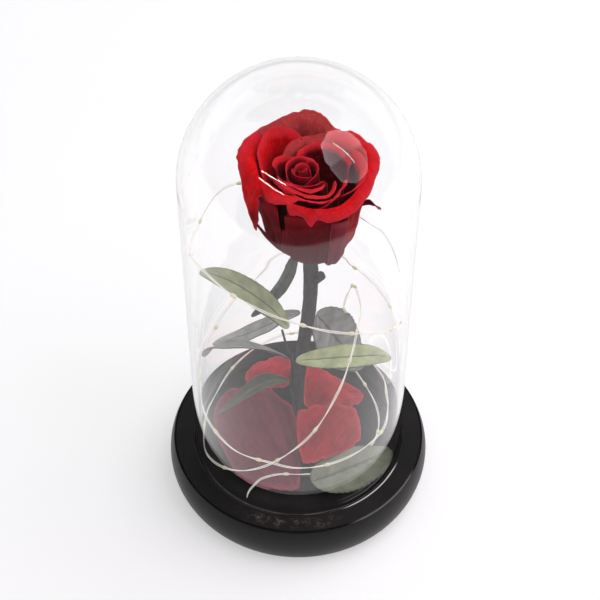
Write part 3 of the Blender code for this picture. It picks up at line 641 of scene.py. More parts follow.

# The open petals, each from rows that run from its crest, where it turns over, to its edge:
# the crest's angle round the head, radius and height, the same of the edge, and how far the lip
# swells between the two. layer: where it sprouts from the core. waist: width of its foot.
# belly: how soon it bulges out. fold: depth of its long folds.
# shown: how far below its crest it keeps its bright colour before painted shade darkens it. look: its
# colours.
OPEN_PETALS = (
    OpenPetal("petal_inner_2", 9.35, 0.80, 0.62, 0.0, 2.5, "red", (
        (166, 14.2, 179.0, 166, 15.3, 179.6, 0.3), (148.5, 13.7, 179.2, 148.5, 14.9, 180.0, 0.3),
        (137.6, 12.4, 179.2, 137.6, 13.6, 180.0, 0.3), (126, 9.6, 179.2, 128, 10.5, 180.0, 0.3),
        (113, 8.4, 179.2, 113, 9.6, 180.0, 0.3), (91.7, 7.2, 179.2, 91.7, 8.2, 180.0, 0.3),
        (64, 5.5, 179.2, 64, 6.5, 180.0, 0.3), (30, 4.6, 178.6, 30, 5.4, 179.4, 0.3))),
    OpenPetal("petal_inner_3", 14.8, 0.80, 0.62, 0.2, 34, "red", (
        (184, 17.2, 176.5, 184, 17.8, 178.0, 0.2), (170, 18.6, 178.6, 170, 19.4, 180.2, 0.2),
        (156, 20.6, 180.0, 156, 21.8, 182.0, 0.2), (140, 22.4, 181.2, 140, 23.8, 183.4, 0.3),
        (128, 23.8, 181.8, 128, 25.4, 184.2, 0.3), (118, 23.2, 182.0, 118, 24.6, 184.0, 0.3),
        (110, 22.0, 181.8, 109, 23.0, 183.6, 0.2), (102, 20.4, 180.6, 102, 21.2, 182.2, 0.2),
        (94, 18.6, 178.6, 94, 19.2, 180.0, 0.2))),
    OpenPetal("petal_inner_4", 9.8, 0.80, 0.62, 0.0, 2.0, "red", (
        (-172, 12.2, 178.6, -172, 13.0, 179.0, 0.3), (-150, 10.6, 178.8, -150, 11.8, 178.6, 0.4),
        (-126, 8.9, 178.8, -126, 10.4, 178.4, 0.4), (-100, 9.0, 178.4, -100, 10.6, 177.8, 0.4),
        (-80, 9.4, 178.2, -80, 11.0, 177.6, 0.4), (-60, 9.4, 178.4, -60, 10.6, 178.2, 0.4),
        (-48, 9.0, 178.8, -48, 9.8, 178.8, 0.3))),
    OpenPetal("petal_inner_5", 11.0, 0.80, 0.62, 0.0, 2.0, "red", (
        (-176, 16.0, 178.6, -176, 16.8, 179.0, 0.3), (-160, 13.6, 178.8, -160, 14.6, 179.0, 0.4),
        (-140, 12.0, 178.6, -140, 13.2, 178.5, 0.4), (-118, 11.4, 178.0, -118, 12.8, 177.7, 0.4),
        (-97, 10.6, 176.8, -97, 11.0, 176.8, 0.2))),
    OpenPetal("petal_inner_6", 12.4, 0.80, 0.62, 0.1, 2.2, "red", (
        (-150, 11.4, 178.8, -150, 12.0, 179.0, 0.3), (-126, 10.8, 178.2, -126, 12.0, 178.0, 0.5),
        (-97, 10.8, 177.2, -97, 12.4, 176.8, 0.6), (-75, 11.8, 177.0, -75, 13.6, 176.6, 0.6),
        (-56, 13.0, 177.0, -56, 14.6, 176.8, 0.5), (-36, 12.2, 178.0, -36, 13.2, 178.2, 0.4),
        (-24, 11.4, 178.8, -24, 12.0, 179.2, 0.3))),
    OpenPetal("petal_inner_7", 13.8, 0.80, 0.62, 0.1, 2.0, "red", (
        (-160, 14.4, 178.6, -160, 15.0, 178.8, 0.2), (-140, 13.2, 178.2, -140, 14.0, 178.4, 0.2),
        (-118, 12.4, 177.2, -118, 13.2, 177.4, 0.2), (-97, 12.8, 176.2, -97, 13.6, 176.4, 0.2),
        (-75, 13.8, 175.6, -75, 14.6, 175.8, 0.2), (-50, 14.8, 175.8, -50, 15.6, 176.0, 0.2),
        (-30, 14.2, 176.0, -30, 14.9, 176.4, 0.2))),
    OpenPetal("petal_inner_8", 15.4, 0.80, 0.62, 0.2, 2.0, "red", (
        (-110, 15.0, 172.4, -110, 15.6, 172.8, 0.2), (-88, 15.4, 172.6, -88, 16.2, 173.0, 0.2),
        (-63, 15.8, 175.4, -63, 16.5, 176.0, 0.2), (-35, 13.9, 175.6, -35, 14.6, 176.0, 0.2),
        (-1, 14.8, 175.6, -1, 15.6, 176.0, 0.2))),
    OpenPetal("petal_inner_9", 12.8, 0.80, 0.62, 0.0, 2.4, "bright", (
        (112, 12.6, 176.6, 112, 13.6, 177.6, 0.2), (100, 14.8, 177.0, 100, 16.0, 178.0, 0.3),
        (86, 17.6, 177.6, 86, 18.2, 178.4, 0.2), (75, 19.4, 177.6, 75, 20.2, 178.4, 0.2),
        (60, 20.2, 177.0, 60, 21.0, 177.8, 0.2), (42, 19.8, 175.8, 42, 20.6, 176.4, 0.2),
        (30, 19.0, 174.6, 30, 20.2, 175.2, 0.2))),
    OpenPetal("petal_inner_10", 15.2, 0.80, 0.62, 0.1, 13, "dusty", (
        (138, 14.4, 175.0, 138, 15.0, 176.2, 0.2), (122, 15.6, 178.2, 122, 16.6, 179.6, 0.2),
        (108, 17.4, 178.8, 108, 18.9, 180.2, 0.3), (98, 18.6, 179.0, 98, 20.4, 180.2, 0.3),
        (88, 19.2, 179.0, 88, 21.0, 180.2, 0.3), (78, 21.0, 179.0, 78, 22.6, 180.2, 0.3),
        (70, 22.4, 179.2, 70, 24.6, 180.6, 0.3), (60, 22.6, 178.4, 60, 24.6, 179.6, 0.3),
        (48, 22.4, 177.0, 48, 24.0, 178.0, 0.2))),
    OpenPetal("petal_inner_11", 16.2, 0.80, 0.66, 0.1, 5, "red", (
        (-38, 15.4, 175.0, -38, 16.0, 176.0, 0.2), (-26, 17.2, 175.6, -26, 18.2, 176.6, 0.3),
        (-16, 19.2, 176.0, -16, 20.6, 177.0, 0.3), (-4, 20.6, 176.6, -4, 22.4, 177.6, 0.3),
        (10, 21.4, 177.0, 10, 23.4, 178.2, 0.3), (24, 21.6, 177.4, 24, 24.0, 178.8, 0.3),
        (38, 21.4, 177.6, 38, 23.8, 178.8, 0.2))),
    OpenPetal("petal_cup_1", 18.0, 0.70, 0.58, 0.3, 4.5, "red", (
        (-118, 18.0, 178.0, -110, 19.9, 172.5, 0.6), (-104, 18.4, 177.5, -101, 19.0, 173.0, 0.6),
        (-95, 18.7, 177.2, -94, 19.8, 172.5, 1.0), (-88.7, 19.0, 177.0, -88.2, 22.7, 171.0, 1.0),
        (-82, 19.2, 176.8, -81.8, 20.8, 172.5, 1.2), (-70, 19.8, 176.5, -68, 22.9, 172.0, 1.2),
        (-58, 20.2, 176.3, -55, 23.3, 172.0, 1.2), (-44, 20.4, 176.2, -42, 23.3, 172.0, 1.2),
        (-29, 20.5, 176.5, -27.8, 23.3, 172.5, 1.2), (-14, 21.0, 176.5, -13.6, 24.1, 172.5, 1.2),
        (2, 23.1, 177.0, 4, 26.0, 173.5, 1.0), (12, 24.5, 178.0, 12.6, 28.5, 175.0, 1.0),
        (21, 25.6, 179.0, 20.5, 30.2, 176.5, 0.9), (30, 26.0, 180.0, 27.8, 30.7, 178.0, 0.8),
        (36, 26.0, 180.5, 34, 30.2, 179.2, 0.6))),
    OpenPetal("petal_cup_2", 19.5, 0.70, 0.58, 0.3, 5.5, "red", (
        (-168, 19.8, 180.0, -163, 19.6, 176.6, 0.6), (-154, 18.0, 180.0, -150, 19.8, 174.5, 0.8),
        (-140, 16.8, 179.5, -136, 19.6, 174.8, 1.0), (-124, 16.2, 179.0, -122, 18.8, 176.0, 0.8),
        (-104, 14.6, 177.8, -102, 15.6, 177.4, 0.4), (-82, 15.2, 177.0, -82, 16.0, 176.8, 0.3),
        (-64, 16.4, 176.4, -64, 17.0, 176.2, 0.2))),
    OpenPetal("petal_cup_3", 21.0, 0.60, 0.58, 0.3, 6, "red", (
        (120, 26.8, 181.4, 124, 29.6, 182.6, 0.4), (134, 26.4, 181.0, 137, 30.2, 182.0, 0.4),
        (146, 25.4, 180.5, 151, 30.5, 181.0, 0.5), (157, 23.6, 180.2, 161, 29.8, 179.4, 0.8),
        (168, 21.8, 180.0, 167, 28.4, 176.5, 1.4), (178, 20.7, 180.0, 172, 26.8, 171.0, 2.2),
        (188, 20.3, 180.0, 179, 25.2, 164.0, 3.0), (197, 20.4, 179.6, 186, 23.6, 158.0, 3.2),
        (204, 21.0, 179.0, 193, 21.8, 152.0, 3.2), (209, 21.6, 178.0, 199, 20.6, 165.0, 2.0),
        (212, 21.4, 177.0, 206, 20.6, 172.0, 1.0))),
    OpenPetal("petal_cup_4", 22.5, 0.60, 0.56, 0.4, 30, "dusty", (
        (134, 26.5, 181.0, 134, 30.2, 182.6, 0.4), (120, 25.8, 182.5, 120, 29.0, 184.0, 0.4),
        (110, 25.6, 184.0, 110, 28.6, 185.6, 0.4), (98, 25.6, 185.4, 98, 28.6, 187.0, 0.4),
        (90, 25.8, 185.8, 90, 29.0, 187.5, 0.4), (82, 25.6, 185.4, 82, 28.4, 187.0, 0.4),
        (75, 25.0, 184.0, 75, 27.6, 185.8, 0.4), (70, 24.4, 181.8, 70, 26.8, 184.0, 0.4),
        (63, 23.8, 179.5, 63, 26.0, 181.5, 0.3))),
    OpenPetal("petal_cup_5", 20.0, 0.60, 0.56, 0.3, 11, "red", (
        (72, 23.0, 180.5, 72, 26.5, 182.5, 0.4), (60, 23.0, 180.0, 60, 26.4, 182.2, 0.4),
        (52, 23.6, 179.6, 52, 28.0, 182.0, 0.4), (44, 24.0, 179.2, 44, 29.3, 181.2, 0.4),
        (37, 24.4, 179.0, 37, 29.2, 180.4, 0.4), (33, 26.4, 178.5, 33, 29.4, 178.9, 0.3))),
    OpenPetal("petal_guard_1", 25.0, 0.9, 0.56, 0.7, 46, "red", (
        (-170, 20.2, 168.0, -170, 20.0, 171.0, 0.2), (-155, 20.4, 170.0, -155, 20.2, 173.0, 0.2),
        (-142, 19.4, 171.0, -142, 19.2, 174.0, 0.2), (-129, 18.8, 171.0, -129, 18.6, 174.0, 0.2))),
    OpenPetal("petal_guard_2", 26.5, 0.9, 0.56, 0.8, 40, "red", (
        (-120, 18.6, 169.0, -120, 18.4, 172.0, 0.2), (-105, 19.2, 170.0, -105, 19.0, 173.0, 0.2),
        (-90, 19.6, 170.5, -90, 19.4, 173.0, 0.2), (-76, 19.8, 170.0, -76, 19.6, 172.5, 0.2),
        (-62, 19.6, 169.0, -62, 19.4, 171.5, 0.2))),
    OpenPetal("petal_guard_3", 27.0, 0.9, 0.60, 1.2, 50, "rosy_back", (
        (-66, 20.4, 168.0, -66, 20.4, 170.5, 0.2), (-60, 21.4, 168.0, -60, 21.4, 170.5, 0.3),
        (-52, 21.8, 168.0, -52, 21.8, 170.0, 0.4), (-46, 21.4, 167.0, -46, 21.4, 169.0, 0.3),
        (-41, 20.2, 166.0, -41, 20.2, 168.0, 0.2))),
    OpenPetal("petal_guard_4", 25.5, 0.9, 0.56, 0.6, 60, "bright", (
        (-43, 19.4, 168.0, -43, 19.2, 171.0, 0.2), (-25, 20.2, 169.0, -25, 20.0, 172.0, 0.2),
        (-8, 21.0, 169.0, -8, 20.8, 172.0, 0.2), (10, 22.2, 169.5, 10, 22.2, 172.5, 0.2),
        (28, 23.2, 170.0, 28, 23.4, 173.0, 0.2))),
    OpenPetal("petal_guard_5", 26.0, 0.9, 0.56, 0.6, 40, "red", (
        (20, 24.0, 170.0, 20, 24.2, 172.0, 0.2), (45, 25.0, 171.0, 45, 25.4, 173.0, 0.2),
        (62, 25.6, 172.0, 62, 26.0, 174.0, 0.2), (80, 26.0, 173.0, 80, 26.4, 175.0, 0.2),
        (98, 25.8, 173.5, 98, 26.2, 175.5, 0.2))),
    OpenPetal("petal_guard_6", 25.0, 0.9, 0.56, 0.6, 40, "red", (
        (88, 24.0, 173.0, 88, 24.0, 175.0, 0.2), (108, 24.8, 174.0, 108, 25.0, 176.0, 0.2),
        (126, 25.4, 174.0, 126, 25.6, 176.0, 0.2), (142, 24.6, 173.0, 142, 24.8, 175.0, 0.2),
        (160, 22.6, 171.5, 160, 22.8, 173.5, 0.2), (174, 20.6, 170.0, 174, 20.6, 172.0, 0.2))),
)
GUARD_LAYER = 24.0         # the petals that sprout further out than this cup the head from outside,
GUARD_CLEAR = 1.8          # and the others stay this far inside their crests
GUARD_CRESTS = sorted(
    (row[0] % 360.0, row[1]) for petal in OPEN_PETALS if petal.layer > GUARD_LAYER for row in petal.rows
)

Sepal = namedtuple("Sepal", "name spine half knob")

# spine: angle round the head, radius and height. half: half the width. knob: swelling of the tip.
SEPALS = (
    Sepal("sepal_left", ((-122, 8.5, 144.0), (-134, 14.6, 147.2), (-148, 18.2, 152.0),
                         (-163, 20.6, 155.4), (-172, 22.6, 158.0)), 2.6, 0.0),
    Sepal("sepal_front", ((-114, 8.5, 143.4), (-119, 13.8, 146.4), (-122, 16.6, 151.4),
                          (-123.5, 16.9, 157.0), (-124, 16.9, 162.0)), 3.6, 0.0),
    Sepal("sepal_right", ((2, 9.0, 143.6), (0, 12.0, 149.0), (-1, 15.0, 156.0), (-3, 18.6, 162.6),
                          (-6, 22.8, 165.8), (-10, 25.4, 166.4), (-12, 28.4, 165.2)), 2.1, 1.1),
)

Leaf = namedtuple("Leaf", "name spine half facing fold teeth")

# spine: the midrib from the stalk to the tip. half: half the width. facing: where the upper face looks.
# fold: how far the two halves rise from the midrib. teeth: how many along each side.
LEAVES = (
    Leaf(
        "leaf_lit",
        ((-4.4, -7.0, 99.4), (-9.4, -7.2, 108.6), (-15.2, -7.6, 116.2), (-21.8, -7.0, 122.2),
         (-29.0, -5.4, 126.2), (-35.4, -4.2, 128.2), (-40.6, -3.4, 128.4)),
        5.3, (0.50, -0.45, 0.74), 0.16, 18,
    ),
    Leaf(
        "leaf_serrated",
        ((0.6, 2.9, 97.6), (-6.7, 5.0, 92.0), (-14.6, 6.0, 85.8), (-22.7, 7.0, 79.6),
         (-30.5, 7.0, 76.2), (-38.3, 6.0, 74.0)),
        4.8, (-0.30, 0.0, 0.95), 0.20, 24,
    ),
    Leaf(
        "leaf_arching",
        ((-4.0, -4.8, 76.6), (-11.9, -5.4, 82.0), (-20.9, -6.2, 86.3), (-30.3, -6.2, 86.9),
         (-37.6, -5.2, 83.6), (-41.4, -4.2, 77.4)),
        5.4, (0.0, 0.5, 0.85), 0.20, 16,
    ),
    Leaf(
        "leaf_right",
        ((-1.0, -6.2, 77.4), (8.4, -8.8, 81.2), (17.8, -11.0, 84.8), (26.4, -12.6, 87.4),
         (33.8, -12.8, 88.0), (39.2, -11.8, 85.4)),
        6.0, (0.0, -0.2, 0.98), 0.18, 16,
    ),
    Leaf(
        "leaf_hanging",
        ((7.6, 3.8, 96.0), (12.6, 5.6, 86.0), (17.6, 7.8, 74.6), (23.4, 10.2, 63.0), (30.0, 12.0, 53.0)),
        11.6, (0.15, -0.55, 0.80), 0.10, 16,
    ),
    Leaf(
        "leaf_small",
        ((-4.9, -4.8, 62.2), (-11.9, -6.2, 63.8), (-19.0, -7.0, 60.6), (-26.4, -6.0, 51.2),
         (-33.0, -3.4, 41.2), (-37.2, -0.6, 33.8)),
        5.8, (-0.30, 0.15, 0.95), 0.20, 16,
    ),
    Leaf(
        "leaf_narrow",
        ((0.6, 4.6, 137.0), (-1.6, 4.4, 127.7), (-5.4, 5.2, 116.6), (-9.4, 6.6, 107.0),
         (-15.4, 8.4, 96.0), (-20.6, 10.6, 87.4)),
        3.0, (0.80, 0.35, 0.45), 0.20, 18,
    ),
    Leaf(
        "leaf_fallen",
        ((6.0, -30.2, 22.2), (14.0, -27.0, 22.2), (24.0, -22.4, 22.6), (33.6, -17.4, 22.4),
         (41.6, -12.4, 22.6)),
        11.4, (0.0, 0.0, 1.0), -0.06, 18,
    ),
)

FallenPetal = namedtuple("FallenPetal", "name look grid")

# Three rows of three points each; the sheet passes through them all. look: its colours.
FALLEN_PETALS = (
    FallenPetal(
        "petal_fallen_front_left", "mauve_face",
        (((-1.6, -5.6, 46.0), (-17.0, 10.6, 40.0), (-33.0, 19.0, 29.0)),
         ((0.8, -14.0, 27.0), (-18.5, -8.4, 31.2), (-40.0, 3.6, 23.0)),
         ((2.6, -34.8, 19.8), (-12.8, -33.6, 19.6), (-27.2, -28.4, 19.8))),
    ),
    FallenPetal(
        "petal_fallen_front_right", "loose_face",
        (((-1.8, -6.8, 46.0), (13.0, 3.2, 36.0), (28.0, 10.4, 27.0)),
         ((-0.4, -14.8, 35.0), (13.4, -7.0, 30.0), (29.0, -3.6, 23.4)),
         ((0.6, -25.6, 26.6), (12.0, -19.4, 24.0), (25.6, -11.0, 22.0))),
    ),
    FallenPetal(
        "petal_fallen_back_right", "loose_face",
        (((3.6, 36.0, 29.6), (20.0, 25.0, 29.0), (33.0, 17.0, 24.6)),
         ((2.6, 18.0, 35.4), (15.0, 14.0, 32.0), (28.6, 12.0, 26.0)),
         ((1.8, 3.6, 33.0), (11.0, 5.0, 28.4), (23.6, 8.0, 24.0))),
    ),
    FallenPetal(
        "petal_fallen_back_left", "loose_face",
        (((-25.0, 36.4, 23.0), (-14.0, 40.0, 26.0), (-3.6, 40.4, 24.6)),
         ((-25.8, 29.0, 24.8), (-14.0, 28.6, 29.8), (-3.2, 29.0, 30.4)),
         ((-24.2, 21.6, 24.6), (-13.8, 18.6, 29.4), (-3.2, 17.4, 31.4))),
    ),
)

# The stem's middle line with its radius, and the thin stalk that carries the leaves.
STEM_LINE = ((-0.9, 0, 12.6, 2.8), (-0.6, 0, 30, 2.7), (-0.2, 0, 45, 2.6), (0.7, 0, 63, 2.7),
             (2.4, 0, 83, 2.9), (4.0, 0, 98, 3.0), (4.8, 0, 110, 3.0), (5.0, 0, 124, 3.1),
             (4.8, 0, 132, 3.3), (4.6, 0, 138.2, 4.4))
SHOOT_FOOT = Vector((6.2, -0.6, 121.4))
SHOOT_TIP = Vector((9.4, -2.8, 126.4))
SHOOT_RADIUS = 2.1
STALK_LINE = ((0.4, -4.7, 18.9, 0.55), (-0.9, -4.6, 34, 0.55), (-2.1, -4.3, 47.4, 0.55),
              (-3.6, -4.3, 62, 0.6), (-2.5, -4.6, 76, 0.7), (-4.9, -5.2, 85, 0.55),
              (-7.0, -6.0, 96.6, 0.5))

# The light string's route from its hole in the base to its free end, as turns round the glass:
# angle, distance from the middle and height.
STRING_ROUTE = (
    (-122.2, 42.8, 11.0), (-122.2, 42.8, 16.0), (-122.0, 41.6, 20.4), (-121.6, 38.0, 21.6),
    (-118.5, 33.0, 23.0), (-106.0, 28.6, 24.0), (-86.0, 26.6, 22.6), (-68.0, 25.4, 19.4),
    (-38.0, 28.6, 19.6), (-12.0, 35.0, 19.8), (14.0, 39.6, 20.2), (36.0, 41.0, 23.6),
    (50.0, 39.8, 33.0), (52.0, 35.8, 48.0), (50.0, 31.0, 63.0), (47.0, 27.6, 76.0),
    (33.0, 24.8, 86.6), (12.6, 19.9, 99.6), (1.4, 20.6, 112.0), (-2.4, 23.2, 118.2),
    (-13.0, 26.6, 110.0), (-30.2, 27.7, 103.2), (-49.0, 31.8, 97.0), (-64.6, 37.8, 90.0),
    (-80.6, 42.5, 74.5), (-91.3, 44.3, 65.0), (-107.0, 44.3, 50.6), (-121.6, 44.3, 40.4),
    (-134.8, 44.3, 33.6), (-150.0, 44.3, 27.6), (-165.8, 44.3, 23.8), (-188.4, 44.3, 24.8),
    (-204.6, 44.3, 24.0), (-224.0, 44.3, 30.0), (-248.6, 44.3, 36.4), (-267.4, 44.3, 39.8),
    (-300.0, 44.2, 40.0), (-333.0, 43.2, 40.4), (-360.0, 40.0, 49.0), (-378.4, 41.4, 54.2),
    (-396.8, 44.2, 53.8), (-426.6, 44.3, 51.6), (-451.0, 43.9, 50.6), (-466.6, 42.9, 50.9),
    (-486.0, 44.3, 51.6), (-503.0, 44.3, 54.0), (-526.8, 44.0, 57.0), (-545.4, 44.3, 63.6),
    (-564.6, 44.3, 65.6), (-581.6, 44.3, 72.0), (-601.4, 44.3, 80.0), (-618.8, 44.3, 90.8),
    (-647.2, 44.3, 94.0), (-675.4, 44.3, 90.6), (-694.8, 44.3, 88.2), (-715.6, 43.4, 91.4),
    (-739.7, 43.8, 112.4), (-749.0, 44.3, 116.0), (-763.0, 44.3, 121.6), (-777.0, 44.3, 128.8),
    (-799.4, 44.3, 138.0), (-812.0, 44.3, 142.6), (-828.4, 44.3, 147.0), (-841.0, 44.3, 149.6),
    (-858.8, 44.3, 152.2), (-870.0, 44.3, 152.0), (-882.0, 44.1, 149.0),
    (-899.6, 44.1, 141.4), (-922.8, 44.3, 140.4), (-942.2, 44.3, 143.4), (-963.0, 44.3, 139.4),
    (-991.0, 44.3, 131.0), (-1029.2, 44.3, 122.4), (-1050.4, 44.3, 123.2), (-1069.6, 44.0, 117.4),
)

# Where the drop lamps sit, as lengths along the string from its start
LAMPS = (30, 57, 84, 111, 139, 167, 195.7, 217.6, 250, 283.8, 308.9, 345, 380, 415.1, 449.9, 485,
         522.7, 552, 580, 609.1, 632.8, 660, 687, 714, 742, 768, 795, 822, 850, 875, 896.6, 925,
         955, 985, 1015, 1043, 1071)


def bezier(corners, t):
    """A point on the curve with four corners, and its direction there."""
    a, b, c, d = corners
    s = 1.0 - t
    point = a * s ** 3 + b * (3 * s * s * t) + c * (3 * s * t * t) + d * t ** 3
    slope = (b - a) * (s * s) + (c - b) * (2 * s * t) + (d - c) * (t * t)
    return point, slope


def ease(value):
    """0 below 0, 1 above 1, smooth between."""
    value = min(max(value, 0.0), 1.0)
    return value * value * (3.0 - 2.0 * value)


def petal_foot(layer):
    """Where a layer of the head leaves the core: radius and height."""
    bud = min(layer, BUD_LAYER)
    outer = layer - bud
    return FOOT_RADIUS + FOOT_STEP * bud + OUTER_STEP * outer, CORE_TOP - 0.5 * bud - outer


def head_point(layer, turn, radius, height):
    """A point of the head from its layer, its angle and its place in that layer's profile."""
    top_axis = AXIS_BUD + (AXIS_CUP - AXIS_BUD) * ease(layer / CUP_LAYER)
    lean = (height - HIP_HEIGHT) / HEAD_HEIGHT
    axis = AXIS_FOOT + (top_axis - AXIS_FOOT) * lean
    return Vector((axis + radius * math.cos(turn), radius * math.sin(turn), height))


def uneven(seed, x, y, size):
    """A smooth wave from -1 to 1 over a sheet, different for every seed."""
    return noise.noise(Vector((x / size, y / size, seed)))


def waves(seed, x, y, heights):
    """Smooth waves added up, each with its height and its length."""
    return sum(height * uneven(seed, x, y, length) for height, length in heights)


def at_side(u):
    """0 over the middle of a sheet, rising to 1 at its two sides."""
    return ease((abs(u) - SIDE_FROM) / SIDE_FADE)


def wound_point(petal, u, v):
    """A point of a wound petal's middle surface; u runs across it, v from its foot to its edge."""
    rise = (v + 1.0) / 2.0
    width = petal.waist + (1.0 - petal.waist) * ease(rise / FULL_WIDTH_AT)
    turn = math.radians(petal.facing + petal.half * u * width)
    layer = petal.layer + petal.twist * u
    crest = (
        BUD_TOP - FALL_PER_LAYER * layer + TILT_PER_LAYER * layer * math.sin(turn)
        + petal.top - petal.sag * u * u
    )
    foot_radius, foot_height = petal_foot(layer)
    length = crest - foot_height
    corners = (
        Vector((foot_radius, foot_height)),
        Vector((foot_radius + FOOT_SLOPE * (layer - foot_radius), foot_height + 1.0)),
        Vector((BELLY_OUT[0] * layer + BELLY_OUT[1], foot_height + BELLY_AT * length)),
        Vector((layer, crest)),
    )
    seed = petal.layer * WOUND_SEED
    across = u * petal.layer * math.radians(petal.half)
    wave = (0.25 + petal.lip / 8.0) * uneven(seed, across, 0.0, EDGE_WAVE)
    reach = 1.0 + (petal.lip + wave) / length
    upper = reach * (1.0 - petal.shoulder * abs(u) ** 3)
    lower = SIDE_RISE * u * u
    along = lower + (upper - lower) * rise
    spot, slope = bezier(corners, min(along, 1.0))
    if along > 1.0:
        start = math.atan2(slope.x, slope.y)
        bend = start + (along - 1.0) * length / petal.curl
        spot += petal.curl * Vector(
            (math.cos(start) - math.cos(bend), math.sin(bend) - math.sin(start))
        )
    free = CREASE_DEPTH * ease((rise - CREASE_FROM) / (1.0 - CREASE_FROM))
    spot.x += free * uneven(seed, across, length * rise, CREASE_WAVE)
    return head_point(layer, turn, spot.x, spot.y)


def along_line(points, at):
    """A point on the smooth curve through uneven points, at runs from 0 to 1 along its length."""
    gaps = [(after - before).length for before, after in zip(points, points[1:])]
    slopes = [(after - before) / gap for before, after, gap in zip(points, points[1:], gaps)]
    leads = [slopes[0]]
    for near, far, first, second in zip(slopes, slopes[1:], gaps, gaps[1:]):
        leads.append((near * second + far * first) / (first + second))
    leads.append(slopes[-1])
    left = at * sum(gaps)
    span = 0
    while span < len(gaps) - 1 and left > gaps[span]:
        left -= gaps[span]
        span += 1
    gap = gaps[span]
    t = left / gap
    start = points[span]
    end = points[span + 1]
    return (
        start * (2 * t ** 3 - 3 * t * t + 1) + end * (3 * t * t - 2 * t ** 3)
        + leads[span] * (gap * (t ** 3 - 2 * t * t + t)) + leads[span + 1] * (gap * (t ** 3 - t * t))
    )


def guard_radius(turn):
    """Radius of the outermost petals' crests at an angle round the head."""
    angle = turn % 360.0
    for (before, low), (after, high) in zip(GUARD_CRESTS, GUARD_CRESTS[1:]):
        if before <= angle <= after and after > before:
            return low + (high - low) * (angle - before) / (after - before)
    return GUARD_CRESTS[0][1]


def open_stations(petal, u):
    """The points of an open petal from its foot to its edge, at one place across it."""
    row = smooth_line(petal.rows, (u + 1.0) / 2.0)
    crest_turn, crest_radius, crest_height, edge_turn, edge_radius, edge_height, swell = row
    middle = (petal.rows[0][0] + petal.rows[-1][0]) / 2.0
    foot_radius, foot_height = petal_foot(petal.layer)
    foot_turn = middle + (crest_turn - middle) * petal.waist
    wall = crest_radius - WALL_INSET * min(1.0, (crest_radius - foot_radius) / INSET_OVER)
    if petal.layer < GUARD_LAYER:
        wall = min(wall, guard_radius(crest_turn) - GUARD_CLEAR)
    climb = crest_height - foot_height
    places = (
        (foot_turn, foot_radius, foot_height),
        ((foot_turn + crest_turn) / 2.0, foot_radius + petal.belly * (wall - foot_radius),
         foot_height + BELLY_RISE * climb),
        (crest_turn, wall, foot_height + WALL_RISE * climb),
        (crest_turn, crest_radius, crest_height),
        ((crest_turn + edge_turn) / 2.0, (crest_radius + edge_radius) / 2.0 + LIP_OUT * swell,
         (crest_height + edge_height) / 2.0 + LIP_UP * swell),
        (edge_turn, edge_radius, edge_height),
    )
    return [
        head_point(CUP_LAYER, math.radians(turn), radius, height) for turn, radius, height in places
    ]


def open_measures(petal, u, v):
    """How far along its stations a point of an open petal lies, and how far above the crest."""
    stations = open_stations(petal, u)
    gaps = [(after - before).length for before, after in zip(stations, stations[1:])]
    total = sum(gaps)
    across = u * petal_spread(petal)
    seed = petal.layer * TEAR_SEED + petal.rows[0][0]
    depth = CUP_TORN if petal.name.startswith("petal_cup") else OPEN_TORN
    (wide, wide_wave), (fine, fine_wave) = TEARS
    torn = 1.0 + wide * uneven(seed, across, 0.0, wide_wave) + fine * uneven(seed, across, 9.0, fine_wave)
    reach = 1.0 - (depth * torn + CORNER_CUT * at_side(u)) / total
    along = reach * (v + 1.0) / 2.0
    return stations, along, along * total - sum(gaps[:3])


def petal_spread(petal):
    """Half the width of an open petal along its crest."""
    crest = [head_point(CUP_LAYER, math.radians(row[0]), row[1], row[2]) for row in petal.rows]
    return sum((after - before).length for before, after in zip(crest, crest[1:])) / 2.0


def open_point(petal, u, v):
    """A point of an open petal's middle surface, with its ripples and long folds."""
    stations, along, over = open_measures(petal, u, v)
    spot = along_line(stations, along)
    out = Vector((spot.x - AXIS_CUP, spot.y, 0.0)).normalized()
    seed = petal.layer * FOLD_SEED + petal.rows[0][0]
    free = ease(along / CRUMPLED_AT) * (GUARD_CRUMPLE if petal.layer > GUARD_LAYER else 1.0)
    across = u * petal_spread(petal)
    folds = petal.fold * math.sin(math.pi * min(along, 1.0)) * uneven(seed, across, 3.0 * along, FOLD_WAVE)
    return spot + out * (folds + free * waves(seed, across, over, CRUMPLES))


def heading(line, at):
    """The direction of a smooth curve there."""
    return smooth_line(line, min(at + 0.02, 1.0)) - smooth_line(line, max(at - 0.02, 0.0))


def sepal_point(sepal, u, v):
    """A point of a sepal, a bowed strip that narrows to its tip or ends in a knob."""
    at = (v + 1.0) / 2.0
    line = [
        head_point(CUP_LAYER, math.radians(turn), radius, height) for turn, radius, height in sepal.spine
    ]
    spot = smooth_line(line, at)
    out = Vector((spot.x - AXIS_CUP, spot.y, 0.0))
    side = heading(line, at).cross(out).normalized()
    tip = ease((at - SEPAL_TIP) / (1.0 - SEPAL_TIP))
    half = sepal.half * (1.0 - SEPAL_TAPER * at) * (1.0 - SEPAL_TAPER * tip)
    half += sepal.knob * math.exp(-((at - KNOB_AT) / KNOB_LENGTH) ** 2)
    bow = SEPAL_BOW * half * (1.0 - u * u)
    return spot + side * (u * half) + out.normalized() * bow


def add_sheet(name, slot, looks, thickness, cells, place, marks, turn_over=False):
    """A thin sheet, with so many cells across and along, that stands for the node of its name."""
    shape = patch(place, *cells, marks)
    if turn_over:
        bmesh.ops.reverse_faces(shape, faces=shape.faces)
    piece = finished(name + "_fine", shape, looks, slot, (name,))
    thicken(piece, thickness)


def petal_cells(spread, cells):
    """Cells across and along a petal: the least across, those per millimetre, and those along."""
    least, fine, along = cells
    return max(least, round(spread * fine)), along


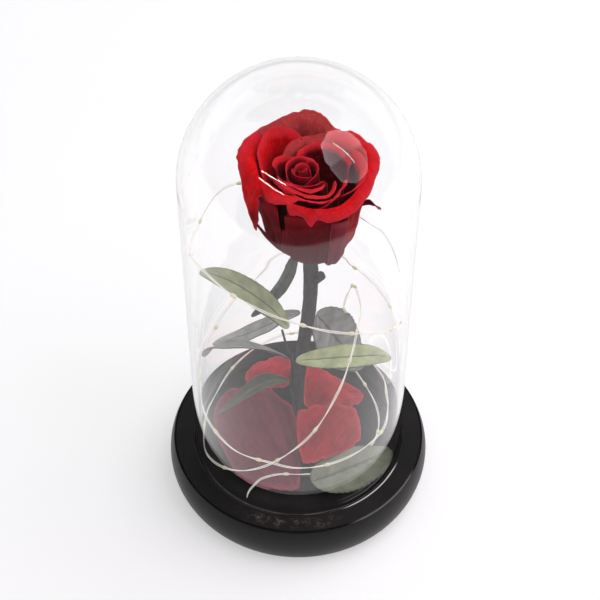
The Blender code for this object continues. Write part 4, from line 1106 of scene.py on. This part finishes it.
def add_petals(looks):
    """Every petal and sepal of the head as a fine sheet, with painted shade by how far it lies from its
    edge.
    """
    for petal in WOUND_PETALS:
        spread = petal.layer * math.radians(petal.half)
        height = BUD_TOP - petal_foot(petal.layer)[1] + petal.top + petal.lip

        def marks(u, v):
            rise = (v + 1.0) / 2.0
            return {
                "chart": (u * spread / CHART_UNIT, rise * (WOUND_TALL + petal.lip) / CHART_UNIT),
                # painted shade: dark below the edge, deep in the bud
                "rise": 1.0 - (1.0 - rise) * height / WOUND_SHOWN,
                "rim": max(rise, abs(u)),
            }

        add_sheet(petal.name, "rose_petal", looks["red"], PETAL_THICKNESS,
                  petal_cells(spread, WOUND_CELLS), lambda u, v: wound_point(petal, u, v), marks)

    for petal in OPEN_PETALS:
        spread = petal_spread(petal)

        def marks(u, v):
            stations, along, over = open_measures(petal, u, v)
            # painted shade: the rise mark drops where the lip hangs below HANG_TOP
            hanging = HANG_PAINTED_SHADE * ease((HANG_TOP - along_line(stations, along).z) / HANG_FADE)
            hanging *= ease(over)
            return {
                "chart": (u * spread / CHART_UNIT, over / CHART_UNIT),
                # painted shade: the rise mark falls off below the crest over the petal's shown length
                "rise": min(1.0, 1.0 + over / petal.shown) - hanging,
                "rim": max((v + 1.0) / 2.0, abs(u)),
            }

        add_sheet(petal.name, "rose_petal", looks[petal.look], PETAL_THICKNESS,
                  petal_cells(spread, OPEN_CELLS), lambda u, v: open_point(petal, u, v), marks,
                  turn_over=petal.rows[0][0] > petal.rows[-1][0])

    for sepal in SEPALS:
        def marks(u, v):
            rise = (v + 1.0) / 2.0
            return {
                "chart": (u * SEPAL_CHART[0], rise * SEPAL_CHART[1]), "rise": rise, "rim": abs(u),
            }

        add_sheet(sepal.name, "sepal", looks["sepal"], SEPAL_THICKNESS, SEPAL_CELLS,
                  lambda u, v: sepal_point(sepal, u, v), marks)


def leaf_point(leaf, u, v):
    """A point of a leaf's middle surface, with teeth on its margin and veins pressed into it."""
    at = (v + 1.0) / 2.0
    spot = smooth_line(leaf.spine, at)
    ahead = heading(leaf.spine, at)
    side = ahead.cross(Vector(leaf.facing)).normalized()
    up = side.cross(ahead).normalized()
    outline = math.sin(math.pi * min(at, 0.999) ** LEAF_LEAN) ** LEAF_FULL
    width = leaf.half * (LEAF_END + (1.0 - LEAF_END) * outline)
    tooth = (at * leaf.teeth) % 1.0
    saw = TOOTH_DEPTH * width * (tooth - 0.5) * at_side(u)
    quilt = QUILT_DEPTH * leaf.half * math.cos(2 * math.pi * vein_phase(leaf, u, at)) * (1 - abs(u))
    fold = leaf.fold * abs(u) * width
    spread, length = CURL_WAVES
    curl = noise.noise(Vector((u * spread, at * length, leaf.half * LEAF_SEED)))
    reach = u * width + math.copysign(saw, u)
    return spot + side * reach + up * (fold + quilt + CURL_HEIGHT * curl * abs(u))


def vein_phase(leaf, u, at):
    """Rises by one from each side vein to the next."""
    return at * leaf.teeth * VEINS_PER_TOOTH - abs(u) * VEIN_SLANT


def add_leaves(looks):
    """Every leaf as a fine sheet, painted with its midrib and its veins."""
    for leaf in LEAVES:
        def marks(u, v):
            at = (v + 1.0) / 2.0
            phase = vein_phase(leaf, u, at) % 1.0
            return {
                "chart": (u * leaf.half / CHART_UNIT, at * LEAF_LONG),
                "across": abs(u),
                "vein": abs(phase - 0.5) * 2.0,
            }

        add_sheet(leaf.name, "leaf", looks[leaf.name], LEAF_THICKNESS, LEAF_CELLS,
                  lambda u, v: leaf_point(leaf, u, v), marks)


def through_three(points, t):
    """A point on the parabola through three points; t runs from 0 to 1."""
    return (
        Vector(points[0]) * ((1 - t) * (1 - 2 * t))
        + Vector(points[1]) * (4 * t * (1 - t))
        + Vector(points[2]) * (t * (2 * t - 1))
    )


def fallen_point(grid, u, v):
    """A point of a loose petal; the square of u and v is rounded off a little towards a disc."""
    a = u * (1.0 - LOOSE_ROUND + LOOSE_ROUND * math.sqrt(1.0 - v * v / 2.0))
    b = v * (1.0 - LOOSE_ROUND + LOOSE_ROUND * math.sqrt(1.0 - u * u / 2.0))
    seed = grid[0][0][0]
    side, end = LOOSE_EDGES
    a *= 1.0 + waves(seed, b, 7.0, [side])
    b *= 1.0 + waves(seed, a, 3.0, [end])
    across = [through_three(row, (a + 1.0) / 2.0) for row in grid]
    spot = through_three(across, (b + 1.0) / 2.0)
    spot.z += waves(seed, a, b, [LOOSE_HUMP]) + waves(seed, a + LOOSE_SLANT * b, 5.0, [LOOSE_FOLD])
    return spot


def add_fallen_petals(looks):
    """The loose petals as fine sheets, mottled all over."""
    for fallen in FALLEN_PETALS:
        def marks(u, v):
            rough = 0.5 + 0.5 * uneven(fallen.grid[0][0][1], u, v, LOOSE_MOTTLE)
            return {
                "chart": (u * LOOSE_CHART, v * LOOSE_CHART),
                "rise": 0.25 + 0.75 * rough,
                "rim": max(abs(u), abs(v)),
            }

        add_sheet(fallen.name, "rose_petal", looks[fallen.look], PETAL_THICKNESS, LOOSE_CELLS,
                  lambda u, v: fallen_point(fallen.grid, u, v), marks)


def add_base(finish):
    """The turned base; its recess edge and groove carry a painted highlight at the front right."""
    upper = math.degrees(math.asin((BASE_HEIGHT - EDGE_DROP - EDGE_MIDDLE) / EDGE_BULGE))
    lower = -math.degrees(math.asin(EDGE_MIDDLE / EDGE_BULGE))
    shape = turned([
        (0.0, FLOOR),
        (RECESS_RADIUS, FLOOR),
        (RECESS_RADIUS, BASE_HEIGHT - RECESS_CHAMFER),
        (RECESS_RADIUS + RECESS_CHAMFER, BASE_HEIGHT),
        (RECESS_RADIUS + 2.0 * RECESS_CHAMFER, BASE_HEIGHT),
        (LEDGE_RADIUS, BASE_HEIGHT),
        (GROOVE_RADIUS - GROOVE_WIDTH, BASE_HEIGHT),
        (GROOVE_RADIUS, BASE_HEIGHT - GROOVE_DEPTH),
        *arc((BASE_RADIUS - EDGE_BULGE, EDGE_MIDDLE), EDGE_BULGE, upper, lower, EDGE_STEPS),
        (0.0, 0.0),
    ])
    worn = shape.verts.layers.float.new("worn")
    dusty = shape.verts.layers.float.new("dusty")
    for vert in shape.verts:
        turn = math.degrees(math.atan2(vert.co.y, vert.co.x))
        reach = math.hypot(vert.co.x, vert.co.y)
        in_dust = min(turn - DUSTY_ARC[0], DUSTY_ARC[1] - turn)
        # painted highlight: full on the recess edge, fainter on the groove, inside the arc at the front
        # right
        in_highlight = min(turn - HIGHLIGHT_ARC[0], HIGHLIGHT_ARC[1] - turn)
        ring_highlight = sum(share for ring, share in HIGHLIGHT_RINGS if abs(reach - ring) < RING_SLACK)
        vert[dusty] = ease(in_dust / DUSTY_FADE) if abs(reach - LEDGE_RADIUS) < RING_SLACK else 0.0
        vert[worn] = ring_highlight * ease(in_highlight / HIGHLIGHT_FADE) if vert.co.z > FLOOR + 1.0 else 0.0
    finished("base_turned", shape, [finish], "black_lacquer", ("base",), smooth=30.0, turn_out=True)


def add_dome(finish):
    """The glass: a wall with a round foot, straight up to where it turns into the half sphere."""
    foot = FLOOR + TOUCH
    inner = GLASS_RADIUS - GLASS_WALL
    lip = GLASS_WALL / 2
    centre = (0.0, GLASS_STRAIGHT)
    upper = GLASS_STRAIGHT - GLASS_TURN
    lower = foot + lip + GLASS_TURN
    shape = turned([
        *arc(centre, GLASS_RADIUS, 90, 0, DOME_STEPS),
        (GLASS_RADIUS, upper),
        (GLASS_RADIUS, lower),
        *arc((inner + lip, foot + lip), lip, 0, -180, LIP_STEPS),
        (inner, lower),
        (inner, upper),
        *arc(centre, inner, 0, 90, DOME_STEPS),
    ])
    finished("dome_clear", shape, [finish], "clear_glass", ("glass_dome",), turn_out=True)


def add_stem(finish):
    """The stem with its knots and its cut side shoot, and the stalk that carries the leaves."""
    line = []
    for step in range(STEM_STEPS + 1):
        x, y, z, radius = smooth_line_of_four(STEM_LINE, step / STEM_STEPS)
        knot = 1.0 + KNOT_SWELL * noise.noise(Vector((0.0, 0.0, z / KNOT_LENGTH)))
        line.append((x, y, z, radius * knot))
    shape = swept(line, STEM_SIDES)
    thick, taper = SHOOT_TAPER
    shoot = [
        (*SHOOT_FOOT.lerp(SHOOT_TIP, part), SHOOT_RADIUS * (thick - taper * part))
        for part in (0.0, 0.3, 0.7, 1.0)
    ]
    swept(shoot, SHOOT_SIDES, shape)
    noise.seed_set(BARK_SEED)
    for vert in shape.verts:
        vert.co += BARK_RELIEF * noise.noise_vector(vert.co / BARK_GRAIN)
    finished("stem_bark", shape, [finish], "stem_bark", ("stem",), smooth=50.0, turn_out=True)
    stalk = [smooth_line_of_four(STALK_LINE, step / STALK_STEPS) for step in range(STALK_STEPS + 1)]
    shape = swept(stalk, STALK_SIDES)
    finished("leaf_stalk_fine", shape, [finish], "stem_bark", ("leaf_stalk",), smooth=40.0, turn_out=True)


def smooth_line_of_four(points, at):
    """As smooth_line, for points that carry a radius."""
    middle = smooth_line([point[:3] for point in points], at)
    radius = smooth_line([(point[3], 0.0, 0.0) for point in points], at).x
    return (*middle, radius)


def add_core(finish):
    """The hip and the core that every petal sprouts from."""
    rings = []
    for layer in CORE_LAYERS:
        radius, height = petal_foot(layer)
        narrower, lower = BUD_CORE_INSET if layer < BUD_LAYER else CORE_INSET
        rings.append((layer, max(radius - narrower, CORE_TIP), height - lower))
    for radius, lower in HIP_RINGS:
        rings.append((LAST_LAYER, radius, petal_foot(LAST_LAYER)[1] - lower))
    line = [
        (*head_point(layer, 0.0, 0.0, height), radius) for layer, radius, height in reversed(rings)
    ]
    shape = swept(line, CORE_SIDES)
    finished("hip_fine", shape, [finish], "stem_bark", ("receptacle",), smooth=60.0, turn_out=True)


def string_point(at):
    """A point of the light string's route; at runs from 0 to 1."""
    angle, radius, height = smooth_line(STRING_ROUTE, at)
    turn = math.radians(angle)
    return Vector((radius * math.cos(turn), radius * math.sin(turn), height))


def ahead_of(route, index):
    """The direction of the light string at a point of its route."""
    return route[min(index + 1, len(route) - 1)] - route[max(index - 1, 0)]


def add_string(wire, drop):
    """Two fine strands side by side along the route, with a clear drop on every lamp."""
    route = [string_point(step / STRING_STEPS) for step in range(STRING_STEPS + 1)]
    lengths = [0.0]
    for before, after in zip(route, route[1:]):
        lengths.append(lengths[-1] + (after - before).length)
    strands = bmesh.new()
    for side in (-1.0, 1.0):
        apart = side * STRAND_APART / 2
        line = []
        for index, spot in enumerate(route):
            ahead = ahead_of(route, index)
            turn = lengths[index] / STRAND_TWIST
            level = ahead.cross(Vector((0.0, 0.0, 1.0))).normalized()
            rise = level.cross(ahead).normalized()
            place = spot + apart * (level * math.sin(turn) + rise * math.cos(turn))
            line.append((*place, STRAND_RADIUS))
        swept(line, STRAND_SIDES, strands)
    drops = bmesh.new()
    across, along = DROP_CELLS
    for lamp in LAMPS:
        index = min(range(len(lengths)), key=lambda place: abs(lengths[place] - lamp))
        turn = ahead_of(route, index).to_track_quat("Z", "X").to_matrix().to_4x4()
        place = Matrix.Translation(route[index]) @ turn @ Matrix.Diagonal(DROP_SHAPE)
        bmesh.ops.create_uvsphere(drops, u_segments=across, v_segments=along, radius=1.0, matrix=place)
    string = finished("string_strands", strands, [wire], "copper_wire", ("light_string",))
    lamps = finished("string_lamps", drops, [drop], "copper_wire")
    metres = [tuple(spot * MM) for spot in route]
    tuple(metres[0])


def add_camera():
    data = bpy.data.cameras.new("camera")
    data.sensor_width = SENSOR_WIDTH
    data.lens = SENSOR_WIDTH * FOCAL_PIXELS / PHOTO_SIDE
    camera = bpy.data.objects.new("camera", data)
    turn = (
        Matrix.Rotation(-math.radians(CAMERA_RIGHT), 4, "Z")
        @ Matrix.Rotation(math.radians(90.0 - CAMERA_DOWN), 4, "X")
        @ Matrix.Rotation(math.radians(CAMERA_ROLL), 4, "Z")
    )
    camera.matrix_world = Matrix.Translation(CAMERA_AT * MM) @ turn
    bpy.context.collection.objects.link(camera)
    bpy.context.scene.camera = camera


def towards(azimuth, height):
    """The direction at an angle round the object and an angle above the table."""
    side = math.radians(azimuth)
    lift = math.radians(height)
    return Vector((math.cos(side) * math.cos(lift), math.sin(side) * math.cos(lift), math.sin(lift)))


def add_lamp(name, azimuth, height, away, size, power):
    """A soft round lamp that looks at the middle of the dome and isn't mirrored in it."""
    data = bpy.data.lights.new(name, "AREA")
    data.shape = "DISK"
    data.size = size * MM
    data.energy = power
    lamp = bpy.data.objects.new(name, data)
    aim = towards(azimuth, height)
    turn = aim.to_track_quat("Z", "Y").to_matrix().to_4x4()
    lamp.matrix_world = Matrix.Translation((LAMP_AIM + aim * away) * MM) @ turn
    lamp.visible_transmission = False
    lamp.visible_glossy = False
    bpy.context.collection.objects.link(lamp)


def add_strip(start, end, width, power):
    """A thin lamp that draws a white stroke on the glass."""
    data = bpy.data.lights.new("strip", "AREA")
    data.shape = "RECTANGLE"
    data.size = (end - start).length * MM
    data.size_y = width * MM
    data.energy = power
    lamp = bpy.data.objects.new("strip", data)
    middle = (start + end) / 2
    out = (middle - GLASS_TOP).normalized()
    along = (end - start).normalized()
    turn = Matrix((along, out.cross(along), out)).transposed().to_4x4()
    lamp.matrix_world = Matrix.Translation(middle * MM) @ turn
    lamp.visible_transmission = False
    lamp.visible_diffuse = False
    bpy.context.collection.objects.link(lamp)


def softbox_finish(light):
    """White cloth lit from behind, brighter towards its rim."""
    finish = Finish("softbox_cloth", {"Base Color": shade(0.0, 0.0, 0.0)})
    rim = finish.ramp(finish.mark("rim"), (0.0, 0.45), (0.8, 0.7), (1.0, 1.0))
    finish.set("Emission Color", finish.mix(rim, shade(0.0, 0.0, 0.0), shade(1.0, 0.84, 0.90)))
    finish.set("Emission Strength", light)
    return finish.material


def add_softbox(aim, light):
    """An eight-sided softbox whose reflection lies on the upper right of the glass."""
    shape = bmesh.new()
    layer = shape.verts.layers.float.new("rim")
    bmesh.ops.create_circle(
        shape, cap_ends=True, cap_tris=True, segments=SOFTBOX_SIDES, radius=SOFTBOX_RADIUS,
    )
    for vert in shape.verts:
        vert[layer] = min(1.0, vert.co.length / SOFTBOX_RADIUS)
    turn = aim.to_track_quat("-Z", "Y").to_matrix().to_4x4() @ Matrix.Rotation(SOFTBOX_TURN, 4, "Z")
    place = Matrix.Translation(GLASS_TOP + aim * SOFTBOX_AWAY) @ turn
    bmesh.ops.transform(shape, matrix=place, verts=shape.verts)
    softbox = finished("softbox", shape, [softbox_finish(light)])
    softbox.visible_transmission = False
    softbox.visible_camera = False


class Sky(Finish):
    """The world around the object, with its nodes added as a finish's are."""

    def __init__(self, name):
        self.world = bpy.data.worlds.new(name)
        self.world.use_nodes = True
        self.tree = self.world.node_tree
        self.shader = self.tree.nodes["Background"]


def studio_sky():
    """Light from all round, strong low behind the dome and weak elsewhere."""
    sky = Sky("studio")
    around = sky.node("ShaderNodeTexCoord", output="Generated")
    depth = sky.node(
        "ShaderNodeVectorMath", {"operation": "DOT_PRODUCT"}, {0: around, 1: SKY_AXIS}, output="Value"
    )
    level = sky.node("ShaderNodeMapRange", None, {
        "Value": depth, "From Min": SKY_FADE[0], "From Max": SKY_FADE[1], "To Min": SKY_FRONT,
        "To Max": SKY_BACK,
    })
    sky.set("Strength", level)
    sky.set("Color", shade(0.97, 0.98, 1.0))
    sky.world.cycles.sampling_method = "NONE"
    return sky.world


def add_stage():
    """A white table and soft lamps."""
    shape = bmesh.new()
    bmesh.ops.create_grid(shape, x_segments=2, y_segments=2, size=TABLE_HALF)
    finished("table", shape, [floor_finish()])
    for direction, light in SOFTBOXES:
        add_softbox(towards(*direction), light)
    for strip in STRIPS:
        add_strip(*strip)
    for lamp in ROUND_LAMPS:
        add_lamp(*lamp)
    bpy.context.scene.world = studio_sky()
    bpy.context.scene.view_settings.view_transform = "Standard"


def build():
    """Every piece in its place, with its finish."""
    add_camera()
    add_string(wire_finish(), lamp_finish())
    add_base(lacquer_finish())
    add_dome(glass_finish())
    bark = bark_finish()
    add_stem(bark)
    add_core(bark)
    petals = {name: petal_finish(name, *colours) for name, colours in PETAL_COLOURS.items()}
    looks = {look: [petals[name] for name in names] for look, names in PETAL_LOOKS.items()}
    add_petals(looks)
    leaves = {name: leaf_finish(name, *colours) for name, colours in LEAF_COLOURS.items()}
    add_leaves({leaf: [leaves[name] for name in names] for leaf, names in LEAF_LOOKS.items()})
    add_fallen_petals(looks)
    add_stage()


build()
